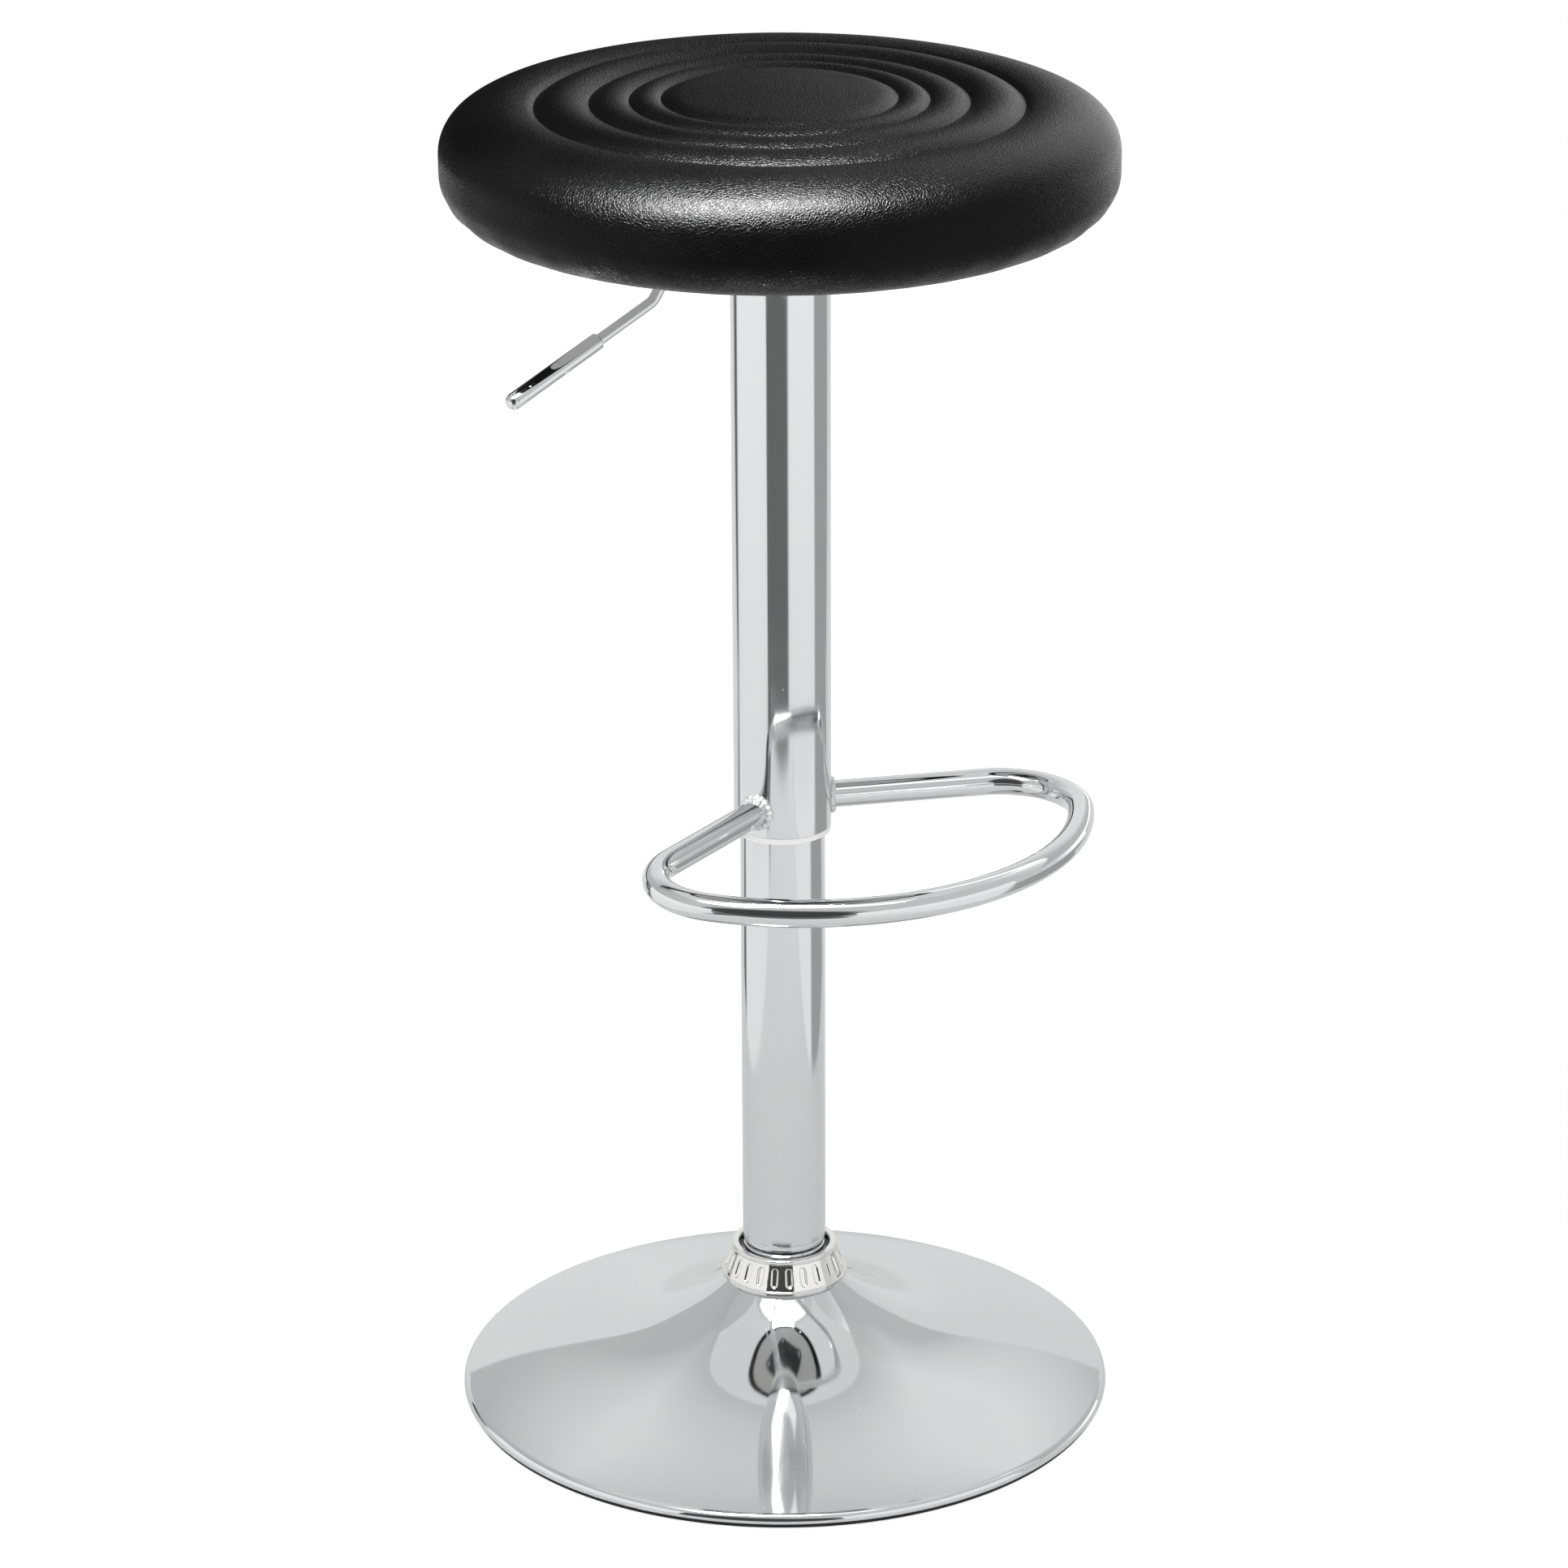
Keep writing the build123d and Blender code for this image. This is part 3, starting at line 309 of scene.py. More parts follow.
# Chromed plastic: the mirror of plated steel, a shade warmer and softer, with the moulding's flow in it.
chromed_plastic, tree, where = new_finish("chrome_on_moulded_plastic")
flow = add(tree, "ShaderNodeTexNoise", {"Vector": where, "Scale": 1 / 0.009, "Detail": 3.0}).outputs["Fac"]
tone = add(tree, "ShaderNodeMix", {
    0: flow, 6: linear("#e2e2e2"), 7: linear("#ebeae8")}, data_type="RGBA").outputs[2]
rough = add(tree, "ShaderNodeMapRange", {"Value": flow, "To Min": 0.03, "To Max": 0.09}).outputs[0]
sink = add(tree, "ShaderNodeBump", {"Height": flow, "Strength": 0.6, "Distance": 0.0001}).outputs[0]
shader = add(tree, "ShaderNodeBsdfPrincipled", {
    "Base Color": tone, "Metallic": 1.0, "Roughness": rough, "Normal": sink}).outputs[0]
add(tree, "ShaderNodeOutputMaterial", {"Surface": shader})

NOTCHES = {"Count": 24, "Length": 0.0112, "Width": 0.0042, "Depth": 0.0010, "Edge": 0.0007,
           "Foot radius": 0.0365, "Foot height": 0.0745, "Top radius": 0.0307, "Top height": 0.0893}
notching, size = new_tree("finger_notches", NOTCHES)
place = add(notching, "GeometryNodeInputPosition").outputs[0]
spot = add(notching, "ShaderNodeSeparateXYZ", {0: place}).outputs
level = add(notching, "ShaderNodeCombineXYZ", {0: spot[0], 1: spot[1]}).outputs[0]
reach = add(notching, "ShaderNodeVectorMath", {0: level}, operation="LENGTH").outputs["Value"]
outward = add(notching, "ShaderNodeVectorMath", {0: level}, operation="NORMALIZE").outputs[0]
share = add(notching, "ShaderNodeMapRange", {
    "Value": spot[2], "From Min": size["Foot height"], "From Max": size["Top height"]},
    clamp=False).outputs[0]
cone = add(notching, "ShaderNodeMapRange", {
    "Value": share, "To Min": size["Foot radius"], "To Max": size["Top radius"]}, clamp=False).outputs[0]
off = add(notching, "ShaderNodeMath", {0: reach, 1: cone}, operation="SUBTRACT").outputs[0]
on_cone = add(notching, "ShaderNodeMath", {0: off, 1: 0.0, 2: 0.0002}, operation="COMPARE").outputs[0]
angle = add(notching, "ShaderNodeMath", {0: spot[1], 1: spot[0]}, operation="ARCTAN2").outputs[0]
turns = add(notching, "ShaderNodeMath", {0: angle, 1: math.tau}, operation="DIVIDE").outputs[0]
cells = add(notching, "ShaderNodeMath", {0: turns, 1: size["Count"]}, operation="MULTIPLY").outputs[0]
cell = add(notching, "ShaderNodeMath", {0: cells, 1: -0.5, 2: 0.5}, operation="WRAP").outputs[0]
pitch = add(notching, "ShaderNodeMath", {0: math.tau, 1: size["Count"]}, operation="DIVIDE").outputs[0]
sweep = add(notching, "ShaderNodeMath", {0: pitch, 1: reach}, operation="MULTIPLY").outputs[0]
across = add(notching, "ShaderNodeMath", {0: cell, 1: sweep}, operation="MULTIPLY").outputs[0]
middle = add(notching, "ShaderNodeMath", {
    0: size["Foot height"], 1: size["Top height"]}, operation="ADD").outputs[0]
half_up = add(notching, "ShaderNodeMath", {0: middle, 1: 0.5}, operation="MULTIPLY").outputs[0]
above = add(notching, "ShaderNodeMath", {0: spot[2], 1: half_up}, operation="SUBTRACT").outputs[0]
upright = add(notching, "ShaderNodeMath", {0: above}, operation="ABSOLUTE").outputs[0]
straight = add(notching, "ShaderNodeMath", {
    0: size["Length"], 1: size["Width"]}, operation="SUBTRACT").outputs[0]
half_run = add(notching, "ShaderNodeMath", {0: straight, 1: 0.5}, operation="MULTIPLY").outputs[0]
over = add(notching, "ShaderNodeMath", {0: upright, 1: half_run}, operation="SUBTRACT").outputs[0]
end = add(notching, "ShaderNodeMath", {0: over, 1: 0.0}, operation="MAXIMUM").outputs[0]
gap = add(notching, "ShaderNodeCombineXYZ", {0: across, 1: end}).outputs[0]
away = add(notching, "ShaderNodeVectorMath", {0: gap}, operation="LENGTH").outputs["Value"]
half_width = add(notching, "ShaderNodeMath", {0: size["Width"], 1: 0.5}, operation="MULTIPLY").outputs[0]
inner = add(notching, "ShaderNodeMath", {0: half_width, 1: size["Edge"]}, operation="SUBTRACT").outputs[0]
dent = add(notching, "ShaderNodeMapRange", {
    "Value": away, "From Min": inner, "From Max": half_width, "To Min": size["Depth"], "To Max": 0.0},
    interpolation_type="SMOOTHSTEP").outputs[0]
push = add(notching, "ShaderNodeMath", {0: dent, 1: -1.0}, operation="MULTIPLY").outputs[0]
inward = add(notching, "ShaderNodeVectorMath", {0: outward, "Scale": push}, operation="SCALE").outputs[0]
pressed = add(notching, "GeometryNodeSetPosition", {
    "Geometry": size["Geometry"], "Selection": on_cone, "Offset": inward}).outputs[0]
hand_over(notching, pressed, size["Finish"])

notched_collar = turned("notched_collar", [
    (34.0, 71.5, 0.0), (37.5, 71.5, 0.7), (37.5, 74.5, 0.7), (36.5, 74.5, 0.0, 0.33), (30.7, 89.3, 0.0),
    (31.7, 89.3, 0.5), (31.7, 92.5, 1.2), (27.3, 92.5, 0.9), (27.3, 90.5, 0.3), (28.7, 90.5, 0.3),
    (34.0, 75.0, 0.0),
], chromed_plastic, steps=672, spacing=1.5)
grow(notched_collar, notching, chromed_plastic, NOTCHES, sharp=50)
settle(notched_collar, "base", "chromed_plastic", "base_collar")


# Column plug: a turned steel end pressed and welded into the lower tube, threaded into the socket below.
# Two polished rings with a groove between them show above the collar.
turned_chrome = chrome("chrome_on_turned_steel", "round")
polished_plug = turned("polished_plug", [
    (5.1, 116.0, 0.0), (23.0, 116.0, 0.5), (23.0, 98.5, 0.0), (24.4, 98.5, 0.6), (24.4, 94.75, 0.5),
    (23.4, 94.0, 0.2), (23.4, 92.5, 0.2), (24.4, 91.75, 0.5), (24.4, 89.5, 0.5), (22.0, 89.5, 0.0),
    (22.0, 58.0, 0.5), (12.0, 58.0, 0.3), (12.0, 70.0, 0.0), (5.1, 70.0, 0.0),
], turned_chrome, spacing=3.0)
settle(polished_plug, "base", "zinc_steel", "column_plug")


# Lower column: a drawn steel tube of 50 mm, polished lengthwise and chrome plated, welded to its plug.
# The upper column slides over it.
drawn_chrome = chrome("chrome_on_drawn_tube", "up", 0.07)
lower_tube = turned("lower_tube", [
    (25.0, 98.5, 0.6), (25.0, 440.0, 0.5), (23.0, 440.0, 0.3), (23.0, 98.5, 0.3),
], drawn_chrome, spacing=8.0)
settle(lower_tube, "base", "chrome_plate", "lower_column")


# Column guide: a grey nylon sleeve moulded to fit the lower tube's top, where the gas cylinder slides in it.
# It stays inside the upper column.
# Grey nylon: a plain mid grey, slightly waxy, with faint flow marks.
grey_nylon, tree, where = new_finish("moulded_grey_nylon")
flow = add(tree, "ShaderNodeTexNoise", {"Vector": where, "Scale": 1 / 0.01, "Detail": 4.0}).outputs["Fac"]
tone = add(tree, "ShaderNodeMix", {
    0: flow, 6: linear("#6e7072"), 7: linear("#828486")}, data_type="RGBA").outputs[2]
rough = add(tree, "ShaderNodeMapRange", {"Value": flow, "To Min": 0.4, "To Max": 0.55}).outputs[0]
shader = add(tree, "ShaderNodeBsdfPrincipled", {
    "Base Color": tone, "Roughness": rough, "IOR": 1.53}).outputs[0]
add(tree, "ShaderNodeOutputMaterial", {"Surface": shader})
coat(grey_nylon, "column_guide")


# Gas spring: a chromed piston rod standing on a ball thrust bearing, and a black painted cylinder that goes
# up and down on it. Steel pieces are bright, the cylinder is stove painted, the rest is nylon or rubber.
# Stove paint: a smooth satin black with a slight orange peel, worn a little greyer in patches.
black_paint, tree, where = new_finish("black_stove_paint")
peel = add(tree, "ShaderNodeTexNoise", {"Vector": where, "Scale": 1 / 0.0018, "Detail": 2.0}).outputs["Fac"]
worn = add(tree, "ShaderNodeTexNoise", {"Vector": where, "Scale": 1 / 0.025, "Detail": 5.0}).outputs["Fac"]
tone = add(tree, "ShaderNodeMix", {
    0: worn, 6: linear("#0f0f10"), 7: linear("#1f1f20")}, data_type="RGBA").outputs[2]
rough = add(tree, "ShaderNodeMapRange", {"Value": worn, "To Min": 0.3, "To Max": 0.5}).outputs[0]
coat_skin = add(tree, "ShaderNodeBump", {"Height": peel, "Strength": 0.25, "Distance": 0.00015}).outputs[0]
shader = add(tree, "ShaderNodeBsdfPrincipled", {
    "Base Color": tone, "Roughness": rough, "Normal": coat_skin, "IOR": 1.5}).outputs[0]
add(tree, "ShaderNodeOutputMaterial", {"Surface": shader})
coat(turned_chrome, "piston_rod")
coat(zinc_plate, "bearing_lower_race", "bearing_balls", "bearing_upper_race", "piston", "piston_nut")
coat(zinc_plate, "rod_washer", "rod_clip", "valve_body", "release_pin", "upper_column_disc")
coat(grey_nylon, "bearing_cage", "cylinder_gland")
coat(moulded_rubber, "piston_ring", "rod_buffer")
coat(black_paint, "gas_cylinder")


# Upper column: a drawn steel tube of 57.5 mm, polished lengthwise and chrome plated like the lower one.
# A disc welded in its top sits on the gas cylinder, so it goes up and down with the seat.
UPPER_RADIUS = 28.75
upper_tube = turned("upper_tube", [
    (UPPER_RADIUS, 362.7, 0.5), (UPPER_RADIUS, 695.8, 0.5), (27.25, 695.8, 0.3), (27.25, 362.7, 0.3),
], drawn_chrome, spacing=8.0)
settle(upper_tube, "seat", "chrome_plate", "upper_column")


# Slide bush: a white nylon sleeve pressed into the upper tube's lower end, so steel never runs on steel.
# White nylon: only its flange shows, as a bright milky ring that lets a little light in.
white_nylon, tree, where = new_finish("moulded_white_nylon")
flow = add(tree, "ShaderNodeTexNoise", {"Vector": where, "Scale": 1 / 0.006, "Detail": 3.0}).outputs["Fac"]
tone = add(tree, "ShaderNodeMix", {
    0: flow, 6: linear("#f0f0ee"), 7: linear("#f8f8f7")}, data_type="RGBA").outputs[2]
rough = add(tree, "ShaderNodeMapRange", {"Value": flow, "To Min": 0.3, "To Max": 0.42}).outputs[0]
shader = add(tree, "ShaderNodeBsdfPrincipled", {
    "Base Color": tone, "Roughness": rough, "IOR": 1.53,
    "Subsurface Weight": 0.1, "Subsurface Radius": (1.0, 1.0, 1.0), "Subsurface Scale": 0.002}).outputs[0]
add(tree, "ShaderNodeOutputMaterial", {"Surface": shader})
nylon_bush = turned("nylon_bush", [
    (28.4, 359.0, 1.0), (28.4, 362.7, 0.2), (27.25, 362.7, 0.0), (27.25, 400.7, 0.3), (25.1, 400.7, 0.3),
    (25.1, 359.0, 0.6),
], white_nylon, spacing=3.0)
settle(nylon_bush, "seat", "white_nylon", "slide_bush")


# Footrest: one steel tube of 16 mm, bent to a loop with a wide front bow and two tight corners, polished and
# chromed. Its two straight ends run into the upper column, where they are welded.
TUBE = {"Radius": 0.008, "Sides": 64}
bending, size = new_tree("bent_tube", TUBE)
line = add(bending, "GeometryNodeMeshToCurve", {"Mesh": size["Geometry"]}).outputs[0]
hoop = add(bending, "GeometryNodeCurvePrimitiveCircle", {
    "Resolution": size["Sides"], "Radius": size["Radius"]}).outputs[0]
tube = add(bending, "GeometryNodeCurveToMesh", {
    "Curve": line, "Profile Curve": hoop, "Fill Caps": True}).outputs[0]
hand_over(bending, tube, size["Finish"])


def bow(centre, radius, start, end, steps):
    """Points on an arc in the loop's plane, between two angles in degrees."""
    angles = [math.radians(start + (end - start) * step / steps) for step in range(steps + 1)]
    return [
        Vector((centre[0] + radius * math.cos(angle), centre[1] + radius * math.sin(angle)))
        for angle in angles]


FOOTREST_Z = 378.0
ARM_ANGLE = 67.0
ARM_START = 27.5
CORNER_CENTRE = (93.26, -89.56)
CORNER_RADIUS = 46.0
FRONT_CENTRE = (0.0, -24.0)
FRONT_RADIUS = 160.0
arm = Vector((math.sin(math.radians(ARM_ANGLE)), -math.cos(math.radians(ARM_ANGLE))))
corner_out = math.degrees(math.atan2(CORNER_CENTRE[1] - FRONT_CENTRE[1], CORNER_CENTRE[0]))
right_corner = bow(CORNER_CENTRE, CORNER_RADIUS, ARM_ANGLE, corner_out, 64)
front = bow(FRONT_CENTRE, FRONT_RADIUS, corner_out, -180.0 - corner_out, 128)
right_arm = [arm * ARM_START + (right_corner[0] - arm * ARM_START) * step / 24 for step in range(24)]
half = right_arm + right_corner
loop = half + front[1:-1] + [Vector((-point.x, point.y)) for point in reversed(half)]
bent_chrome = chrome("chrome_on_bent_tube", None)
footrest_loop = new_piece(
    "footrest_loop", [(point.x / 1000, point.y / 1000, FOOTREST_Z / 1000) for point in loop],
    [(index, index + 1) for index in range(len(loop) - 1)])
grow(footrest_loop, bending, bent_chrome, TUBE)
settle(footrest_loop, "seat", "chrome_plate", "footrest")


# Footrest welds: a bead of weld run by hand round each end of the loop, where it meets the upper column.
# It is left unground and painted silver, so it stays lumpy and duller than the chrome.
# Silvered weld: a soft pale metal, rough with spatter and the ripples that each pulse of the torch leaves.
silvered_weld, tree, where = new_finish("silver_painted_weld")
scale = add(tree, "ShaderNodeTexNoise", {
    "Vector": where, "Scale": 1 / 0.0016, "Detail": 5.0}).outputs["Fac"]
tone = add(tree, "ShaderNodeMix", {
    0: scale, 6: linear("#b9bbbd"), 7: linear("#f0f0ef")}, data_type="RGBA").outputs[2]
rough = add(tree, "ShaderNodeMapRange", {"Value": scale, "To Min": 0.25, "To Max": 0.5}).outputs[0]
spatter = add(tree, "ShaderNodeBump", {"Height": scale, "Strength": 0.7, "Distance": 0.0003}).outputs[0]
shader = add(tree, "ShaderNodeBsdfPrincipled", {
    "Base Color": tone, "Metallic": 0.75, "Roughness": rough, "Normal": spatter}).outputs[0]
add(tree, "ShaderNodeOutputMaterial", {"Surface": shader})

BEAD = {"Radius": 0.0019, "Ripples": 17.0, "Ripple depth": 0.13, "Unevenness": 0.5, "Lump size": 0.006,
        "Spatter": 0.0005}
beading, size = new_tree("weld_bead", BEAD)
line = add(beading, "GeometryNodeMeshToCurve", {"Mesh": size["Geometry"]}).outputs[0]
share = add(beading, "GeometryNodeSplineParameter").outputs["Factor"]
beats = add(beading, "ShaderNodeMath", {0: share, 1: size["Ripples"]}, operation="MULTIPLY").outputs[0]
swing = add(beading, "ShaderNodeMath", {0: beats, 1: math.tau}, operation="MULTIPLY").outputs[0]
ripple = add(beading, "ShaderNodeMath", {0: swing}, operation="SINE").outputs[0]
rippled = add(beading, "ShaderNodeMath", {
    0: ripple, 1: size["Ripple depth"], 2: 1.0}, operation="MULTIPLY_ADD").outputs[0]
fineness = add(beading, "ShaderNodeMath", {0: 1.0, 1: size["Lump size"]}, operation="DIVIDE").outputs[0]
lumps = add(beading, "ShaderNodeTexNoise", {"Scale": fineness, "Detail": 2.0}).outputs["Fac"]
lumpy = add(beading, "ShaderNodeMath", {0: lumps, 1: 0.5}, operation="SUBTRACT").outputs[0]
swell = add(beading, "ShaderNodeMath", {
    0: lumpy, 1: size["Unevenness"], 2: rippled}, operation="MULTIPLY_ADD").outputs[0]
rod = add(beading, "GeometryNodeCurvePrimitiveCircle", {
    "Resolution": 16, "Radius": size["Radius"]}).outputs[0]
bead = add(beading, "GeometryNodeCurveToMesh", {
    "Curve": line, "Profile Curve": rod, "Scale": swell}).outputs[0]
grit = add(beading, "ShaderNodeTexNoise", {"Scale": 1 / 0.0022, "Detail": 2.0}).outputs["Fac"]
rise = add(beading, "ShaderNodeMath", {0: grit, 1: 0.5}, operation="SUBTRACT").outputs[0]
lift = add(beading, "ShaderNodeMath", {0: rise, 1: size["Spatter"]}, operation="MULTIPLY").outputs[0]
facing = add(beading, "GeometryNodeInputNormal").outputs[0]
shift = add(beading, "ShaderNodeVectorMath", {0: facing, "Scale": lift}, operation="SCALE").outputs[0]
uneven = add(beading, "GeometryNodeSetPosition", {"Geometry": bead, "Offset": shift}).outputs[0]
hand_over(beading, uneven, size["Finish"])

BEAD_STEPS = 160
BEAD_RING = 8.9
BEAD_HEIGHT = 0.5
seams, links = [], []
for side in (1, -1):
    start = len(seams)
    for step in range(BEAD_STEPS):
        turn = math.tau * step / BEAD_STEPS
        sideways = BEAD_RING * math.cos(turn)
        out = math.sqrt(UPPER_RADIUS ** 2 - sideways ** 2) + BEAD_HEIGHT
        flat = Vector((side * arm.x, arm.y)) * out + Vector((-arm.y, side * arm.x)) * sideways
        seams.append((flat.x / 1000, flat.y / 1000, (FOOTREST_Z + BEAD_RING * math.sin(turn)) / 1000))
        links.append((start + step, start + (step + 1) % BEAD_STEPS))
weld_beads = new_piece("weld_beads", seams, links)
grow(weld_beads, beading, silvered_weld, BEAD)
settle(weld_beads, "seat", "weld_metal", "footrest_welds")


# Seat mechanism: a steel hub pressed on the gas cylinder's taper, in a folded channel welded under a pressed
# plate. All are sheet or turned steel, stove painted black; the lever's pivot pin and clip are zinc plated.
coat(black_paint, "taper_hub", "mechanism_channel", "seat_plate")
coat(zinc_plate, "lever_barrel", "pivot_pin", "pivot_clip")


# Release lever: a steel rod of 6.7 mm with two bends, chromed, through the pivot's barrel.
# Tipped up, its inner end pushes the gas spring's release pin down.
# Its line is drawn as an outline that comes back by way of a far corner, and the way back is cut off.
LEVER_BEND = (-86.5, 694.3)
LEVER_TIP = (-178.7, 652.9)
lever_line = outline([
    (3.0, 716.0, 0.0), (-72.0, 716.0, 9.0), (*LEVER_BEND, 9.0), (*LEVER_TIP, 0.0), (3.0, 1500.0, 0.0)], 3.0)
lever_end = next(index for index, point in enumerate(lever_line) if point.x < LEVER_TIP[0] + 0.1)
lever_line = lever_line[:lever_end + 1]
bent_rod = new_piece(
    "bent_rod", [(point.x / 1000, 0, point.y / 1000) for point in lever_line],
    [(index, index + 1) for index in range(len(lever_line) - 1)])
grow(bent_rod, bending, bent_chrome, {"Radius": 0.00335, "Sides": 40})
settle(bent_rod, "lever", "chrome_plate", "lever_rod")


# Lever grip: a short chromed steel tube pushed over the rod's end, its mouth rolled in, with a domed cap.
# A fine seam shows where the cap's shoulder meets the tube.
GRIP = 61.0


def along_lever(piece):
    """Puts a piece turned on its own axis on the lever's, with its foot at the grip's inner end."""
    bend, tip = [Vector((place[0] / 1000, 0, place[1] / 1000)) for place in (LEVER_BEND, LEVER_TIP)]
    heading = (tip - bend).normalized()
    facing = heading.to_track_quat("Z", "Y").to_matrix().to_4x4()
    piece.data.transform(Matrix.Translation(tip - heading * GRIP / 1000) @ facing)


grip_tube = turned("grip_tube", [
    (3.4, 0.0, 0.3), (5.0, 0.0, 0.9), (5.0, GRIP, 0.35), (3.4, GRIP, 0.0),
], bent_chrome, steps=64)
along_lever(grip_tube)
settle(grip_tube, "lever", "chrome_plate", "lever_grip")
grip_cap = turned("grip_cap", [
    (0.0, GRIP, 0.0), (4.75, GRIP, 0.0), (4.75, GRIP + 0.25, 0.0), (5.0, GRIP + 0.3, 0.0),
    (5.0, GRIP + 5.25, 4.95), (0.0, GRIP + 5.25, 0.0),
], bent_chrome, steps=64)
along_lever(grip_cap)
settle(grip_cap, "lever", "chrome_plate", "lever_cap")


# Seat board: a disc of birch plywood that the plate is bolted to. The cover and the cloth close it in.
# Plywood: pale layers with a fine streaky grain along one way.
plywood, tree, where = new_finish("birch_plywood")
grain_way = add(tree, "ShaderNodeVectorMath", {
    0: where, 1: (0.06, 1.0, 1.0)}, operation="MULTIPLY").outputs[0]
grain = add(tree, "ShaderNodeTexNoise", {
    "Vector": grain_way, "Scale": 1 / 0.003, "Detail": 5.0}).outputs["Fac"]
tone = add(tree, "ShaderNodeMix", {
    0: grain, 6: linear("#b08d62"), 7: linear("#d8bd92")}, data_type="RGBA").outputs[2]
fibre = add(tree, "ShaderNodeBump", {"Height": grain, "Strength": 0.3, "Distance": 0.0002}).outputs[0]
shader = add(tree, "ShaderNodeBsdfPrincipled", {
    "Base Color": tone, "Roughness": 0.65, "Normal": fibre}).outputs[0]
add(tree, "ShaderNodeOutputMaterial", {"Surface": shader})
coat(plywood, "seat_board")
coat(zinc_plate, "tee_nuts")


# Seat cushion: moulded foam on the board under a cover of black faux leather, heat-pressed into four ring
# channels, pulled down over the rim and stapled under the board. The pull leaves gathers at its foot.
def arc(start, middle, end, steps, tight="both"):
    """Points on the circle through three points, without the last one, closer together at its tight ends."""
    pace = {
        "both": lambda share: (1 - math.cos(math.pi * share)) / 2,
        "start": lambda share: 1 - math.cos(math.pi * share / 2),
        "end": lambda share: math.sin(math.pi * share / 2),
        "none": lambda share: share}[tight]
    chord, bend_at = end - start, middle - start
    cross = 2 * (chord.x * bend_at.y - chord.y * bend_at.x)
    centre = start + Vector((
        (bend_at.y * chord.length_squared - chord.y * bend_at.length_squared) / cross,
        (chord.x * bend_at.length_squared - bend_at.x * chord.length_squared) / cross))
    spoke = start - centre
    turn = spoke.angle_signed(end - centre)
    return [centre + Matrix.Rotation(-turn * pace(step / steps), 2) @ spoke for step in range(steps)]


def shell_faces(rings, about):
    """Faces of a closed round shell, made of a first point, rings of points and a last point."""
    faces = [(0, 1 + step, 1 + (step + 1) % about) for step in range(about)]
    for ring in range(rings - 1):
        here, there = 1 + ring * about, 1 + (ring + 1) * about
        faces += [
            (here + step, there + step, there + (step + 1) % about, here + (step + 1) % about)
            for step in range(about)]
    last, end = 1 + (rings - 1) * about, 1 + rings * about
    return faces + [(end, last + (step + 1) % about, last + step) for step in range(about)]


def swung(centre, radius, start, end, steps):
    """Points on an arc by the slope of its surface, in degrees, without the last one."""
    slopes = [math.radians(start + (end - start) * step / steps) for step in range(steps)]
    return [
        Vector((centre[0] + radius * math.sin(slope), centre[1] + radius * math.cos(slope)))
        for slope in slopes]


CHANNELS = [Vector(point) for point in ((66.6, 798.0), (84.5, 797.1), (107.0, 795.7), (138.0, 794.0))]
RING_RISE = 0.155
ROUND = 208
crown = arc(Vector((0, 803.0)), Vector((27.0, 802.55)), Vector((54.0, 801.2)), 14, "none")
crown += arc(Vector((54.0, 801.2)), Vector((61.0, 800.15)), CHANNELS[0], 8, "end")
held_rows = set(range(11))
for start, end, steps in zip(CHANNELS, CHANNELS[1:], (12, 13, 15)):
    held_rows.add(len(crown))
    crest = (start + end) / 2 + Vector((0, RING_RISE * (end.x - start.x)))
    crown += arc(start, crest, end, steps)
held_rows.add(len(crown))
crown += arc(CHANNELS[3], Vector((140.3, 795.35)), Vector((143.0, 796.06)), 6, "start")
crown += swung((149.92, 737.47), 59.0, -6.74, 32.0, 12)
crown += swung((169.0, 768.0), 23.0, 32.0, 90.0, 9)
crown += [Vector((192.0, 768.0 - 11.0 * step / 4)) for step in range(4)]
crown += swung((166.0, 757.0), 26.0, 90.0, 180.0, 14)
hem_row = len(crown)
crown += [Vector((166.0 - 16.0 * step / 5, 731.0)) for step in range(6)]
BOARD_SIDE = ((150.0, 732.1), (168.4, 732.1), (168.4, 747.8), (100.0, 748.8), (0.0, 748.8))
crown += [Vector(point) for point in BOARD_SIDE]
held_rows |= set(range(hem_row, len(crown)))

GATHERS = {"number": 40, "depth": 0.9, "height": 739.0, "reach": 12.0}
CREASE = {"depth": 0.45, "height": 747.0, "reach": 2.2}
points = [Vector((0, 0, crown[0].y / 1000))]
for row, spot in enumerate(crown[1:-1], 1):
    low = max(0.0, 1.0 - abs(spot.y - GATHERS["height"]) / GATHERS["reach"]) if row < hem_row else 0.0
    crease = math.exp(-((spot.y - CREASE["height"]) / CREASE["reach"]) ** 2) if row < hem_row else 0.0
    for step in range(ROUND):
        turn = math.tau * step / ROUND
        sway = 1.6 * math.sin(3 * turn + 0.7)
        gather = 0.5 - 0.5 * math.cos(GATHERS["number"] * turn + sway + 0.9 * math.sin(7 * turn))
        sag = 0.5 + 0.5 * math.sin(2 * turn + 2.1)
        reach = spot.x - GATHERS["depth"] * low * gather - CREASE["depth"] * crease * sag
        points.append(Vector((reach * math.cos(turn), reach * math.sin(turn), spot.y)) / 1000)
points.append(Vector((0, 0, crown[-1].y / 1000)))
rows = len(crown) - 2
seat_cushion = new_piece("seat_cushion", points, [], shell_faces(rows, ROUND))

